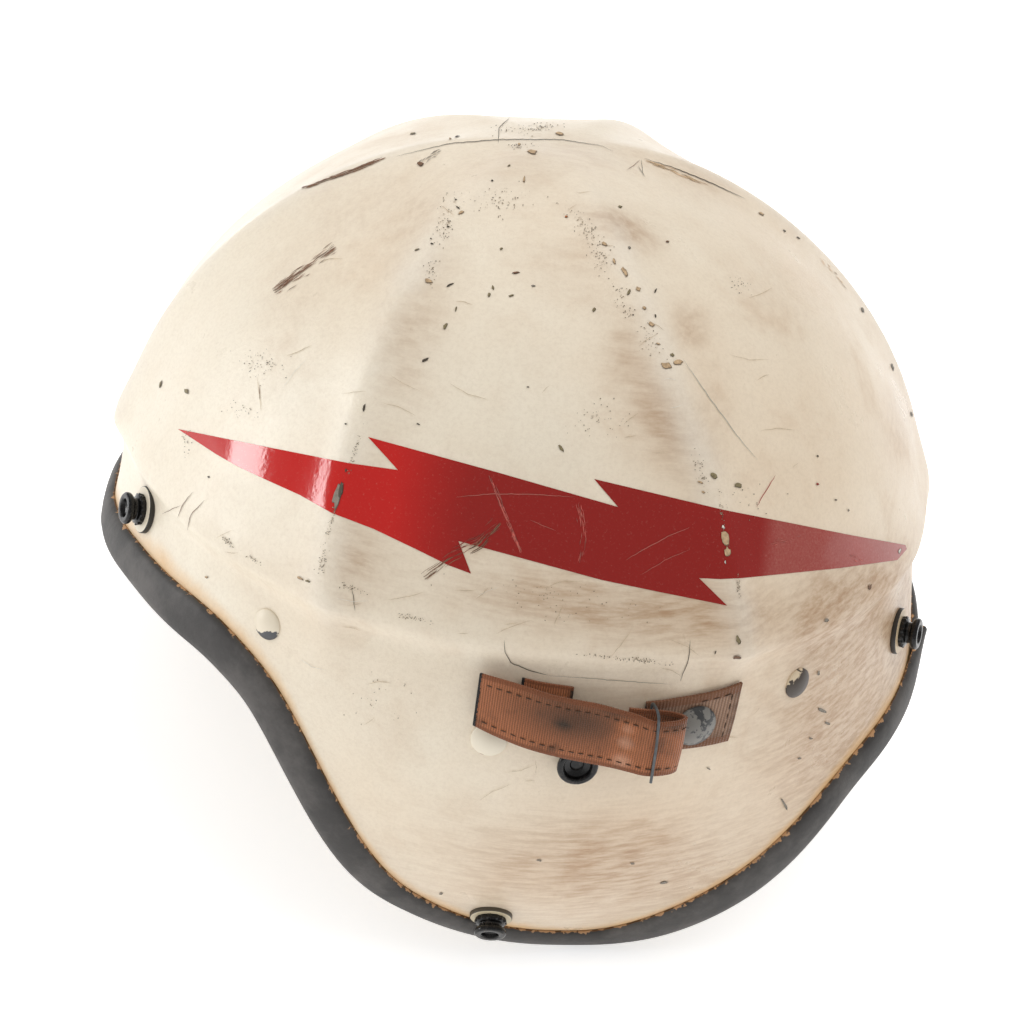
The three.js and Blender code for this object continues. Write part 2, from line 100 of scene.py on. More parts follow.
class Look:
    """One material's nodes while it is put together. Its methods take sockets, numbers and hex colours."""

    def __init__(self, name: str) -> None:
        """Starts a material with nothing in it."""
        self.material = bpy.data.materials.new(name)
        self.material.use_nodes = True
        self.tree = self.material.node_tree
        self.tree.nodes.clear()

    def place(self) -> Socket:
        """Returns the place on the object, in metres."""
        return add_node(self.tree, "ShaderNodeTexCoord").outputs["Object"]

    def axis(self, where: Socket, letter: str) -> Socket:
        """Returns one axis of a vector."""
        return add_node(self.tree, "ShaderNodeSeparateXYZ", None, {0: where}).outputs[letter]

    def read(self, attribute: str, output: str = "Fac") -> Socket:
        """Returns an attribute that the mesh carries."""
        return add_node(self.tree, "ShaderNodeAttribute", {"attribute_name": attribute}).outputs[output]

    def noise(self, where: Socket, scale: float, detail: float, roughness: float = 0.5,
              distortion: float = 0.0) -> Socket:
        """Returns a cloudy noise, its scale in clouds to the unit of where."""
        inputs = {"Vector": where, "Scale": scale, "Detail": detail, "Roughness": roughness,
                  "Distortion": distortion}
        return add_node(self.tree, "ShaderNodeTexNoise", None, inputs).outputs["Fac"]

    def ramp(self, value: Socket, low: float, high: float, start: float = 0.0, end: float = 1.0,
             eased: bool = True) -> Socket:
        """Returns start where the value is at low, end where it is at high, and what lies between."""
        easing = {"interpolation_type": "SMOOTHSTEP" if eased else "LINEAR"}
        inputs = {"Value": value, "From Min": low, "From Max": high, "To Min": start, "To Max": end}
        return add_node(self.tree, "ShaderNodeMapRange", easing, inputs).outputs["Result"]

    def calc(self, operation: str, *values: Socket | float, clamp: bool = False) -> Socket:
        """Returns the result of one sum."""
        return add_node(self.tree, "ShaderNodeMath", {"operation": operation, "use_clamp": clamp},
                        dict(enumerate(values))).outputs[0]

    def line(self, value: Socket, slope: float, base: Socket | float, clamp: bool = False) -> Socket:
        """Returns the value times the slope, plus the base."""
        return self.calc("MULTIPLY_ADD", value, slope, base, clamp=clamp)

    def times(self, value: Socket, factor: Socket | float) -> Socket:
        """Returns the value times the factor."""
        return self.calc("MULTIPLY", value, factor)

    def vector(self, operation: str, *values: Socket | tuple, output: str = "Vector") -> Socket:
        """Returns the result of one vector sum."""
        return add_node(self.tree, "ShaderNodeVectorMath", {"operation": operation},
                        dict(enumerate(values))).outputs[output]

    def mix(self, share: Socket, under: Socket | str, over: Socket | str) -> Socket:
        """Returns one colour with a share of another laid over it."""
        under, over = (linear(colour) if isinstance(colour, str) else colour for colour in (under, over))
        inputs = {0: share, 6: under, 7: over}
        return add_node(self.tree, "ShaderNodeMix", {"data_type": "RGBA"}, inputs).outputs[2]

    def close(self, shader: dict, bump: Socket | None = None, bump_depth: float = 0.1) -> bpy.types.Material:
        """Ends the material with its Principled shader and returns it.

        Args:
            shader: Principled input names with values or sockets.
            bump: Height that the bump follows, or None.
            bump_depth: How many millimetres a height of one stands for.
        """
        inputs = dict(shader)
        if bump is not None:
            relief = add_node(self.tree, "ShaderNodeBump", None,
                              {"Strength": 1.0, "Distance": bump_depth * MILLIMETRE, "Height": bump})
            inputs["Normal"] = relief.outputs["Normal"]
        principled = add_node(self.tree, "ShaderNodeBsdfPrincipled", None, inputs)
        add_node(self.tree, "ShaderNodeOutputMaterial", None, {"Surface": principled.outputs["BSDF"]})
        return self.material


class Slot(Enum):
    """Names of the material slots, one for each kind of finish."""

    PAINT = "paint"
    RUBBER = "rubber"
    BLACK_METAL = "black_metal"
    AGED_METAL = "aged_metal"
    RIVET_PAINT = "rivet_paint"
    RIVET_METAL = "rivet_metal"
    GROSGRAIN = "grosgrain"
    WEBBING = "webbing"
    WIRE = "wire"


# The helmet's form


@dataclass(frozen=True)
class RibCourse:
    """Course of one rib's crest, as azimuths in degrees at the crown and at the shoulder line."""

    crown: float
    shoulder: float
    share: float = 1.0


@dataclass(frozen=True)
class RimStation:
    """One station of the rim: the fall to the end of the paint, and the edging's depth past it."""

    azimuth: float
    fall: float
    depth: float


@dataclass(frozen=True)
class Facing:
    """A value that differs between the back, the sides and the front."""

    rear: float
    side: float
    front: float


@dataclass(frozen=True)
class HelmetForm:
    """The moulded form: a ribbed dome over a shoulder line, and the wall that falls from it."""

    half_width: float = 125.5
    rear_reach: float = 127.0
    front_reach: float = 135.5
    crown_height: float = 210.7
    shoulder_height: float = 105.6
    shoulder_rise: float = 12.0
    crown_offset: float = 3.9
    roundness: Facing = Facing(2.03, 1.83, 1.87)
    wall_thickness: float = 3.0
    top_slope: Facing = Facing(4.8, 7.7, 7.7)
    low_slope: Facing = Facing(-33.5, 11.3, 11.3)
    wall_run: float = 95.0
    rib_height: float = 4.4
    crest_run: float = 11.0
    crest_round: float = 3.2
    rib_crown_fade: float = 34.0
    rib_run_out: float = 15.8
    belt_height: float = 3.3
    belt_above: float = 12.0
    belt_below: float = 4.2
    ribs: tuple[RibCourse, ...] = (
        RibCourse(39.3, 32), RibCourse(-6.4, -25.5), RibCourse(90, 90),
        RibCourse(-106, -92, 0.95), RibCourse(143, 146, 0.66), RibCourse(-152, -153, 1.15),
    )
    # Each station: azimuth, fall, depth
    rim: tuple[RimStation, ...] = tuple(RimStation(*row) for row in (
        (-180, 60, 13), (-160, 62.5, 13), (-146, 62, 13), (-128, 45, 13), (-108, 30, 13), (-92, 32.5, 12.5),
        (-80, 42.3, 12.5), (-70, 47.9, 12.5), (-55, 58.8, 13.5), (-40, 99.6, 15), (-22, 132.5, 13),
        (0, 125.7, 10.5), (22, 102.1, 13.5), (31, 62, 14.5), (40, 32.8, 15.5), (55, 22.1, 15.5),
        (70, 22.5, 13.5), (85, 26, 12.5), (108, 28, 13), (128, 44, 13), (146, 62, 13), (160, 62.5, 13),
    ))
    rim_evening: float = 2.5
    rim_values: dict = field(default_factory=dict, compare=False)
    middle_height: float = 60.0
    stand_pitch: float = 20.3
    stand_shift: tuple[float, float, float] = (1.2985, 32.7198, 8.6628)

    def stance(self) -> Matrix:
        """Returns the matrix from the helmet's own millimetres to the frame's metres."""
        pitch = Matrix.Rotation(math.radians(self.stand_pitch), 4, "X")
        return Matrix.Scale(MILLIMETRE, 4) @ Matrix.Translation(self.stand_shift) @ pitch

    def plan_radius(self, azimuth: float) -> float:
        """Returns the shoulder line's radius at an azimuth, without its ribs."""
        turn = math.radians(azimuth)
        reach = self.rear_reach if math.cos(turn) > 0 else self.front_reach
        return 1 / math.hypot(math.sin(turn) / self.half_width, math.cos(turn) / reach)

    def shoulder(self, azimuth: float) -> float:
        """Returns the shoulder line's height at an azimuth."""
        return self.shoulder_height - self.shoulder_rise * math.cos(math.radians(azimuth))

    def along_rim(self, column: str, azimuth: float) -> float:
        """Returns one column of the rim at an azimuth, evened out over a few degrees.

        Args:
            column: Either fall or depth.
            azimuth: Degrees from the nape towards the wearer's left.

        Returns:
            The column's value there, in millimetres.
        """
        key = (column, round(azimuth % 360, 4))
        if key not in self.rim_values:
            reads = [self._through_rim(column, azimuth + k * self.rim_evening) for k in range(-2, 3)]
            self.rim_values[key] = sum(share * read for share, read in zip((1, 2, 3, 2, 1), reads)) / 9
        return self.rim_values[key]

    def _through_rim(self, column: str, azimuth: float) -> float:
        """Reads a curve through one column of the rim stations, that never overshoots them.

        Args:
            column: Either fall or depth.
            azimuth: Degrees from the nape towards the wearer's left.

        Returns:
            The column's value there, in millimetres.
        """
        angle = (azimuth + 180) % 360 - 180
        count = len(self.rim)
        i = max(k for k in range(count) if self.rim[k].azimuth <= angle)
        run = self._rim_run(i)
        t = (angle - self.rim[i].azimuth) / run
        start = getattr(self.rim[i], column)
        end = getattr(self.rim[(i + 1) % count], column)
        rest = 1 - t
        return (start * (1 + 2 * t) * rest * rest + self._rim_slope(column, i) * run * t * rest * rest
                + end * t * t * (3 - 2 * t) - self._rim_slope(column, i + 1) * run * t * t * rest)

    def _rim_run(self, i: int) -> float:
        """Returns the degrees from one rim station to the next."""
        count = len(self.rim)
        return (self.rim[(i + 1) % count].azimuth - self.rim[i % count].azimuth) % 360

    def _rim_slope(self, column: str, i: int) -> float:
        """Returns the curve's slope at a rim station, zero at a high or low point."""
        count = len(self.rim)
        values = [getattr(self.rim[k % count], column) for k in (i - 1, i, i + 1)]
        run_before, run_after = self._rim_run(i - 1), self._rim_run(i)
        before = (values[1] - values[0]) / run_before
        after = (values[2] - values[1]) / run_after
        if before * after <= 0:
            return 0.0
        share_before = 2 * run_after + run_before
        share_after = run_after + 2 * run_before
        return (share_before + share_after) / (share_before / before + share_after / after)

    def crest(self, azimuth: float, dome_angle: float) -> float:
        """Returns how near a place is to a rib's crest, from 0 to about 1."""
        way = dome_angle / 90
        radius = self.plan_radius(azimuth) * math.sin(math.radians(max(dome_angle, 1)))
        total = 0.0
        for rib in self.ribs:
            middle = rib.crown + (rib.shoulder - rib.crown) * way
            aside = math.radians((azimuth - middle + 180) % 360 - 180) * radius
            sharp = (math.hypot(aside, self.crest_round) - self.crest_round) / self.crest_run
            total += rib.share * math.exp(-sharp)
        return total * (1 - math.exp(-((radius / self.rib_crown_fade) ** 2)))

    def dome_point(self, azimuth: float, dome_angle: float) -> Vector:
        """Returns a point of the dome.

        Args:
            azimuth: Degrees from the nape towards the wearer's left.
            dome_angle: 0 at the crown to 90 at the shoulder line.

        Returns:
            The point in the helmet's own frame, in millimetres.
        """
        turn, rise = math.radians(azimuth), math.radians(dome_angle)
        along = math.cos(turn)
        facing = self.roundness.rear if along > 0 else self.roundness.front
        power = 2 / (self.roundness.side + (facing - self.roundness.side) * along ** 2)
        base = self.shoulder(azimuth)
        rib = self.rib_height * self.crest(azimuth, dome_angle)
        up = max(math.cos(rise), 0.0)
        radius = self.plan_radius(azimuth) * math.sin(rise) ** power + rib * math.sin(rise)
        height = base + (self.crown_height - base) * up ** power + rib * up
        above = (self.crown_height - base) * up ** power
        radius += self.belt_height * math.exp(-((above / self.belt_above) ** 2))
        lean = self.crown_offset * up ** 1.3
        return Vector((radius * math.sin(turn) + lean, radius * along, height))

    def wall_point(self, azimuth: float, fall: float, lift: float = 0.0) -> Vector:
        """Returns a point on or off the wall below the shoulder line.

        Args:
            azimuth: Degrees from the nape towards the wearer's left.
            fall: Millimetres down the wall from the shoulder line.
            lift: Millimetres straight out from the wall.

        Returns:
            The point in the helmet's own frame, in millimetres.
        """
        turn = math.radians(azimuth)
        behind = 1 - math.sin(turn) ** 4 if math.cos(turn) > 0 else 0.0
        top = math.radians(self.top_slope.side + (self.top_slope.rear - self.top_slope.side) * behind)
        low = math.radians(self.low_slope.side + (self.low_slope.rear - self.low_slope.side) * behind)
        bend = (low - top) / self.wall_run
        slope = top + bend * fall
        rib = self.rib_height * self.crest(azimuth, 90) * math.exp(-max(fall, 0.0) / self.rib_run_out)
        belt = self.belt_height * math.exp(-((max(fall, 0.0) / self.belt_below) ** 2))
        radius = self.plan_radius(azimuth) + (math.cos(top) - math.cos(slope)) / bend + rib + belt
        height = self.shoulder(azimuth) - (math.sin(slope) - math.sin(top)) / bend
        reach = radius + lift * math.cos(slope)
        return Vector((reach * math.sin(turn), reach * math.cos(turn), height + lift * math.sin(slope)))

    def past_rim(self, azimuth: float, past: float, lift: float) -> Vector:
        """Returns a point past the end of the paint, square to the rim's own run.

        Args:
            azimuth: Degrees from the nape towards the wearer's left.
            past: Millimetres past the end of the paint.
            lift: Millimetres straight out from the wall.

        Returns:
            The point in the helmet's own frame, in millimetres.
        """
        step = 0.5
        fall = self.along_rim("fall", azimuth)
        foot = self.wall_point(azimuth, fall)
        radius = math.hypot(foot.x, foot.y)
        run = 2 * math.radians(step) * radius
        drop = self.along_rim("fall", azimuth + step) - self.along_rim("fall", azimuth - step)
        length = math.hypot(run, drop)
        aside = math.degrees(-drop / length * past / radius)
        return self.wall_point(azimuth + aside, fall + run / length * past, lift)


FORM = HelmetForm()
STANCE = FORM.stance()


# Viewpoint of the photograph


@dataclass(frozen=True)
class Viewpoint:
    """Where the photograph was taken from, in the helmet's own upright frame."""

    yaw: float = 8.09
    pitch: float = 21.41
    roll: float = 8.13
    distance: float = 1579.3
    focal_pixels: float = 4895.7
    centre_pixel: tuple[float, float] = (521.0, 500.3)
    aim_height: float = 90.2
    picture_side: int = 1024
    sensor: float = 36.0

    def axes(self) -> tuple[Vector, Vector, Vector]:
        """Returns the camera's right, up and back directions in the helmet's own frame."""
        yaw, pitch, roll = (math.radians(v) for v in (self.yaw, self.pitch, self.roll))
        back = Vector((math.sin(yaw) * math.cos(pitch), math.cos(yaw) * math.cos(pitch), math.sin(pitch)))
        right = (-back).cross(Vector((0, 0, 1))).normalized()
        up = right.cross(-back)
        rolled_right = math.cos(roll) * right + math.sin(roll) * up
        rolled_up = math.cos(roll) * up - math.sin(roll) * right
        return rolled_right, rolled_up, back

    def eye(self) -> Vector:
        """Returns the camera's place in the helmet's own frame."""
        return Vector((0, 0, self.aim_height)) + self.axes()[2] * self.distance

    def ray(self, pixel: tuple[float, float]) -> tuple[Vector, Vector]:
        """Returns the sight line through a pixel of the photograph.

        Args:
            pixel: Column and row in the 1024 pixel picture.

        Returns:
            The line's start and its direction, in the frame's metres.
        """
        right, up, back = self.axes()
        across = (pixel[0] - self.centre_pixel[0]) / self.focal_pixels
        down = (pixel[1] - self.centre_pixel[1]) / self.focal_pixels
        direction = (-back + right * across - up * down).normalized()
        turned = (STANCE.to_3x3() @ direction).normalized()
        return STANCE @ self.eye(), turned

    def pixel(self, place: Vector) -> Vector:
        """Returns the pixel that shows a place of the helmet's own frame."""
        right, up, back = self.axes()
        sight = place - self.eye()
        scale = self.focal_pixels / -sight.dot(back)
        return Vector((self.centre_pixel[0] + sight.dot(right) * scale,
                       self.centre_pixel[1] - sight.dot(up) * scale))

    def camera(self) -> None:
        """Makes the camera at the photograph's place."""
        data = bpy.data.cameras.new("photo_view")
        data.sensor_fit = "HORIZONTAL"
        data.sensor_width = self.sensor
        data.lens = self.sensor * self.focal_pixels / self.picture_side
        half = self.picture_side / 2
        data.shift_x = (half - self.centre_pixel[0]) / self.picture_side
        data.shift_y = (self.centre_pixel[1] - half) / self.picture_side
        camera = put("photo_view", data)
        right, up, back = (STANCE.to_3x3() @ axis for axis in self.axes())
        turn = Matrix((right.normalized(), up.normalized(), back.normalized())).transposed()
        camera.matrix_world = Matrix.Translation(STANCE @ self.eye()) @ turn.to_4x4()
        bpy.context.scene.camera = camera


VIEW = Viewpoint()


def put(name: str, data: bpy.types.ID) -> bpy.types.Object:
    """Puts a mesh, curve, light or camera into the scene and returns its object."""
    made = bpy.data.objects.new(name, data)
    bpy.context.scene.collection.objects.link(made)
    return made


def piece_from(bm: bmesh.types.BMesh, name: str, material: bpy.types.Material, slot: Slot,
               stands_for: Sequence[str] = ()) -> bpy.types.Object:
    """Turns a bmesh in the frame's metres into a piece that rides on the helmet.

    Args:
        bm: The finished bmesh, which is freed.
        name: The piece's name.
        material: Its finish.
        slot: The slot of that finish; not used.
        stands_for: CAD nodes that the piece replaces.

    Returns:
        The new object.
    """
    mesh = bpy.data.meshes.new(name)
    for face in bm.faces:
        face.smooth = True
    bm.to_mesh(mesh)
    bm.free()
    piece = put(name, mesh)
    mesh.materials.append(material)
    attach(piece, BODY)
    if stands_for:
        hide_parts(*stands_for)
    log.info("piece %s: %d faces", name, len(mesh.polygons))
    return piece


def mapped_grid(bm: bmesh.types.BMesh, columns: int, rows: int,
                place: Callable[[float, float, bmesh.types.BMVert], Vector]) -> None:
    """Adds a grid and lays each of its points where a function says.

    Args:
        bm: The bmesh that gets the grid.
        columns: Number of cells across.
        rows: Number of cells down.
        place: Takes the shares across and down, and the vertex, and returns its place in metres.
    """
    made = bmesh.ops.create_grid(bm, x_segments=columns, y_segments=rows, size=1, calc_uvs=False)
    for vertex in made["verts"]:
        vertex.co = place((vertex.co.x + 1) / 2, (vertex.co.y + 1) / 2, vertex)


# Finishes


@dataclass(frozen=True)
class AgedEnamel:
    """Cream enamel brushed over moulded fibreglass: half gloss, yellowed, rubbed and stained, with painted
    shade in part of its yellowing and in some of its smudges.
    """

    fresh: str = "#EFE6D3"
    # Aged colour, which also paints the shade on the wearer's right
    aged_and_shaded: str = "#E6D0B4"
    stain: str = "#C59E76"
    # Brown of the grime, which also paints shade where the shell says
    grime: str = "#A37B54"
    rubbed: str = "#EBE3D4"
    rim_resin: str = "#E3B77C"
    mottle: str = "#A88E70"
    roughness: float = 0.33
    # Brush strokes run along X: the noise is drawn out on each axis by this much
    stroke: tuple[float, float, float] = (0.16, 0.4, 1.2)

    def build(self) -> bpy.types.Material:
        """Returns the enamel, which reads the shell's crest and to_rim attributes, and the one that holds its
        smudges and painted shade.
        """
        look = Look("aged_cream_enamel")
        place = look.place()
        broad = look.noise(place, 13.0, 4.0, 0.55)
        patchy = look.noise(place, 42.0, 8.0, 0.62, 0.4)
        fine = look.noise(place, 800.0, 6.0, 0.75)
        # Aged in broad clouds, and warmer and darker towards the wearer's right, partly ageing and partly
        # painted shade on the side away from the light; the stains follow the same share
        ageing_and_shade = look.line(broad, 1.1, -0.3)
        ageing_and_shade = look.line(look.ramp(look.axis(place, "X"), 0.09, -0.12), 0.5, ageing_and_shade, clamp=True)
        colour = look.mix(ageing_and_shade, self.fresh, self.aged_and_shaded)
        stained = look.times(look.ramp(patchy, 0.5, 0.8, end=0.5), ageing_and_shade)
        colour = look.mix(stained, colour, self.stain)
        # Brown grime in clouds, with the smudges and painted shade that the shell carries, broken up by the
        # brush strokes that hold the dirt
        streaks = look.noise(look.vector("MULTIPLY", place, self.stroke), 520.0, 4.0, 0.65)
        grimy_and_shaded = look.calc("ADD", look.line(patchy, 0.5, -0.22), look.read("smudge_and_shade"), clamp=True)
        grimy_and_shaded = look.times(grimy_and_shaded, look.ramp(streaks, 0.32, 0.72, 0.45, 1.0))
        colour = look.mix(look.times(grimy_and_shaded, 0.85), colour, self.grime)
        # Rubbed pale on the ribs, and stained by resin along the rim
        rubbed = look.times(look.read("crest"), patchy)
        colour = look.mix(look.ramp(rubbed, 0.2, 0.75, end=0.62), colour, self.rubbed)
        resin = look.line(patchy, -9.0, look.read("to_rim"))
        colour = look.mix(look.ramp(resin, 2.6, -5.2, end=0.75), colour, self.rim_resin)
        colour = look.mix(look.ramp(fine, 0.44, 0.74, end=0.17, eased=False), colour, self.mottle)
        rough = look.ramp(patchy, 0.3, 0.75, self.roughness - 0.08, self.roughness + 0.14, eased=False)
        return look.close({"Base Color": colour, "Roughness": rough, "IOR": 1.5, "Specular IOR Level": 0.5},
                          look.line(broad, 5.0, fine), 0.12)


@dataclass(frozen=True)
class Laminate:
    """Bare glass laminate, hand laid: dull resin over a coarse woven roving about 4 mm wide."""

    resin: str = "#A08A63"
    strand: str = "#C2B28C"
    gap: str = "#8A7551"
    haze: str = "#B7A27A"
    roving: float = 4.0

    def build(self) -> bpy.types.Material:
        """Returns the laminate of the shell's inner face."""
        look = Look("bare_laminate")
        place = look.place()
        weave = add_node(look.tree, "ShaderNodeTexBrick", {"offset": 0.5, "squash_frequency": 2},
                         {"Vector": place, "Scale": 1000 / self.roving / 2, "Color1": linear(self.resin),
                          "Color2": linear(self.strand), "Mortar": linear(self.gap), "Mortar Size": 0.03})
        colour = look.mix(look.noise(place, 30.0, 6.0), weave.outputs["Color"], self.haze)
        return look.close({"Base Color": colour, "Roughness": 0.6}, weave.outputs["Fac"], 0.2)


@dataclass(frozen=True)
class VinylRed:
    """Glossy red sign film, deeper red in clouds and towards the wearer's right, and dulled by fine rubbing.
    """

    bright: str = "#C01C16"
    deep: str = "#8E170F"
    dust: str = "#C58A7E"

    def build(self) -> bpy.types.Material:
        """Returns the ornament's film."""
        look = Look("red_sign_film")
        place = look.place()
        cloud = look.noise(place, 24.0, 7.0, 0.6)
        fine = look.noise(place, 1300.0, 4.0, 0.75)
        side = look.axis(place, "X")
        # Bright red at its left end, deeper red in clouds and towards the wearer's right
        faded = look.line(cloud, -0.6, look.ramp(side, 0.068, 0.028, end=1.3), clamp=True)
        colour = look.mix(faded, self.bright, self.deep)
        colour = look.mix(look.ramp(fine, 0.56, 0.85, end=0.42), colour, self.dust)
        # Rubbed dull at its right end, past the rib
        rubbed = look.times(look.ramp(side, -0.056, -0.064, end=0.5), fine)
        colour = look.mix(rubbed, colour, self.dust)
        rough = look.ramp(cloud, 0.3, 0.7, 0.06, 0.13, eased=False)
        return look.close({"Base Color": colour, "Roughness": rough, "IOR": 1.5, "Specular IOR Level": 0.48},
                          look.noise(place, 620.0, 2.0), 0.025)


@dataclass(frozen=True)
class Rubber:
    """Extruded rubber edging: matt, greyed with age, with flakes of enamel and old cement on it."""

    black: str = "#33302E"
    bloom: str = "#524E4B"
    cement: str = "#5E3F1E"
    flake: str = "#B98F66"
    cement_reach: float = -0.2
    flake_reach: float = -3.7
    edge: float = 0.2

    def build(self) -> bpy.types.Material:
        """Returns the rubber, which reads the edging's girth attribute in millimetres."""
        look = Look("aged_edging_rubber")
        place = look.place()
        ragged = look.noise(place, 240.0, 6.0, 0.7)
        colour = look.mix(look.ramp(look.noise(place, 46.0, 8.0, 0.66), 0.38, 0.68), self.black, self.bloom)
        girth = look.read("girth")
        # A thin line of cement by the enamel, then flakes of enamel that reach farther on to the rubber
        line = look.line(ragged, -1.6, girth)
        colour = look.mix(look.ramp(line, self.cement_reach, self.cement_reach - self.edge, eased=False),
                          colour, self.cement)
        flakes = look.line(look.noise(place, 360.0, 5.0, 0.6), -8.0, girth)
        colour = look.mix(look.ramp(flakes, self.flake_reach, self.flake_reach - self.edge, eased=False),
                          colour, self.flake)
        return look.close({"Base Color": colour, "Roughness": 0.6, "IOR": 1.5}, ragged, 0.2)


@dataclass(frozen=True)
class LacqueredMetal:
    """Pressed metal under black lacquer: glossy, rubbed thin on its edges."""

    name: str = "black_lacquered_metal"
    lacquer: str = "#131212"
    rubbed: str = "#3A3633"
    roughness: float = 0.2

    def build(self) -> bpy.types.Material:
        """Returns the lacquered metal."""
        look = Look(self.name)
        wear = look.noise(look.place(), 380.0, 6.0, 0.65)
        colour = look.mix(look.ramp(wear, 0.5, 0.72), self.lacquer, self.rubbed)
        rough = look.ramp(wear, 0.0, 1.0, self.roughness - 0.08, self.roughness + 0.2, eased=False)
        return look.close({"Base Color": colour, "Roughness": rough, "Metallic": 0.35}, wear, 0.05)


@dataclass(frozen=True)
class WornPaintedMetal:
    """Metal painted over in cream, with part of the paint gone down to the dark metal, and a dark edge past
    its rim share that is partly bare metal and partly painted shade.
    """

    name: str
    paint: str = "#E6DAC4"
    metal: str = "#4A4B4E"
    cut: float = 0.0
    lean: tuple[float, float, float] = (0.0, 0.0, 0.0)
    # Past this share of the widest radius the piece is dark: on the plates this is their edge, partly bare
    # metal and partly painted shade of the gap beneath them
    rim: float = 2.0

    def build(self) -> bpy.types.Material:
        """Returns the finish, which reads the piece's own coordinate attribute named spot."""
        look = Look(self.name)
        spot = look.read("spot", "Vector")
        ragged = look.noise(look.place(), 330.0, 6.0, 0.6)
        leaning = look.vector("DOT_PRODUCT", spot, self.lean, output="Value")
        edge = look.line(ragged, 1.1, leaning)
        bare_and_rim_shade = look.ramp(edge, self.cut - 0.03, self.cut + 0.03)
        # The dark edge of the plates, partly bare metal and partly painted shade of the gap beneath them
        reach = look.vector("LENGTH", look.vector("MULTIPLY", spot, (1, 1, 0)), output="Value")
        bare_and_rim_shade = look.calc("MAXIMUM", bare_and_rim_shade, look.calc("GREATER_THAN", reach, self.rim))
        colour = look.mix(bare_and_rim_shade, self.paint, self.metal)
        return look.close({"Base Color": colour, "Roughness": 0.42, "IOR": 1.5}, ragged, 0.08)


@dataclass(frozen=True)
class RibbedCloth:
    """Woven narrow cloth: weft ribs across the strap, hard selvedges, soiled where it was pressed."""

    name: str
    # Thread is the colour on the weft ribs and shade the colour in the gaps between them, so that the colour
    # paints the weave's highlight and shade
    thread: str
    shade: str
    soil_and_shade: str
    rib_spacing: float
    selvedge: float
    width: float
    sheen: float = 0.25
    burnt_end: float = 0.0
    # Colour of the lighter spots, which on the band paint a highlight where it turns
    faded: str = "#D3A083"
    hem: str = "#7A4526"
    burnt: str = "#17110E"
    warp_spacing: float = 0.6
    hem_edge: float = 0.25

    def build(self) -> bpy.types.Material:
        """Returns the cloth, which reads its UV map in millimetres: along, then across."""
        look = Look(self.name)
        uv = add_node(look.tree, "ShaderNodeUVMap", {"uv_map": "cloth"}).outputs["UV"]
        along, across = look.axis(uv, "X"), look.axis(uv, "Y")
        wobble = look.noise(uv, 0.9, 3.0)
        phase = look.times(look.line(wobble, 0.35, along), math.tau / self.rib_spacing)
        cross = look.calc("SINE", look.times(across, math.tau / self.warp_spacing))
        weave = look.line(cross, 0.3, look.calc("SINE", phase))
        # The colour follows the weave's height, lighter on the ribs and darker in the gaps: painted highlight
        # and shade, over the weave's bump
        colour = look.mix(look.ramp(weave, -1.1, 0.9, eased=False), self.shade, self.thread)
        # Soiled in clouds, and darkened where the strip says, which on the band is soil in places and painted
        # shade in others; lighter where it says less than nothing, a painted highlight on the band
        soil_and_shade = look.read("soil_and_shade")
        cloud = look.ramp(look.noise(uv, 0.09, 5.0, 0.6), 0.45, 0.75, end=0.7)
        colour = look.mix(look.calc("MAXIMUM", cloud, soil_and_shade), colour, self.soil_and_shade)
        colour = look.mix(look.ramp(soil_and_shade, 0.0, -1.0, eased=False), colour, self.faded)
        # The rolled hems along both edges, and the end where the cloth was burnt to seal it
        hem = self.width / 2 - self.selvedge
        from_middle = look.calc("ABSOLUTE", look.calc("SUBTRACT", across, self.width / 2))
        border = look.times(look.ramp(from_middle, hem - self.hem_edge, hem + self.hem_edge), 0.8)
        colour = look.mix(border, colour, self.hem)
        burnt = look.calc("LESS_THAN", look.line(wobble, -1.0, along), self.burnt_end - 0.5)
        colour = look.mix(burnt, colour, self.burnt)
        return look.close({"Base Color": colour, "Roughness": 0.78, "Sheen Weight": self.sheen,
                           "Sheen Roughness": 0.4}, weave, 0.09)


@dataclass(frozen=True)
class Thread:
    """Twisted sewing thread, waxed and dirty."""

    name: str
    colour: str
    dirt: str = "#3E2A1A"

    def build(self) -> bpy.types.Material:
        """Returns the thread."""
        look = Look(self.name)
        grime = look.noise(look.place(), 600.0, 3.0)
        colour = look.mix(grime, self.colour, self.dirt)
        return look.close({"Base Color": colour, "Roughness": 0.7}, grime, 0.05)


@dataclass(frozen=True)
class DullWire:
    """Drawn wire, dull and tarnished."""

    colour: str = "#6D7276"
    tarnish: str = "#3D3C3B"

    def build(self) -> bpy.types.Material:
        """Returns the wire."""
        look = Look("dull_wire")
        cloud = look.noise(look.place(), 500.0, 5.0)
        return look.close({"Base Color": look.mix(cloud, self.colour, self.tarnish), "Roughness": 0.5,
                           "Metallic": 0.5}, cloud, 0.04)


@dataclass(frozen=True)
class BareSpot:
    """What shows where the enamel is chipped, in the tone that each mark carries."""

    grit: str = "#5A4C3A"

    def build(self) -> bpy.types.Material:
        """Returns the finish of chips and cracks, which reads their tone attribute."""
        look = Look("chipped_ground")
        grit = look.noise(look.place(), 800.0, 4.0, 0.7)
        gritty = look.ramp(grit, 0.35, 0.7, end=0.55, eased=False)
        colour = look.mix(gritty, look.read("tone", "Color"), self.grit)
        return look.close({"Base Color": colour, "Roughness": 0.62}, grit, 0.12)


# Shell


@dataclass(frozen=True)
class SmudgeAndShade:
    """A soft brown patch on the enamel, a real smudge in some places and painted shade in others, placed and
    sized in pixels of the picture.
    """

    x: float
    y: float
    long: float
    short: float
    turn: float
    depth: float
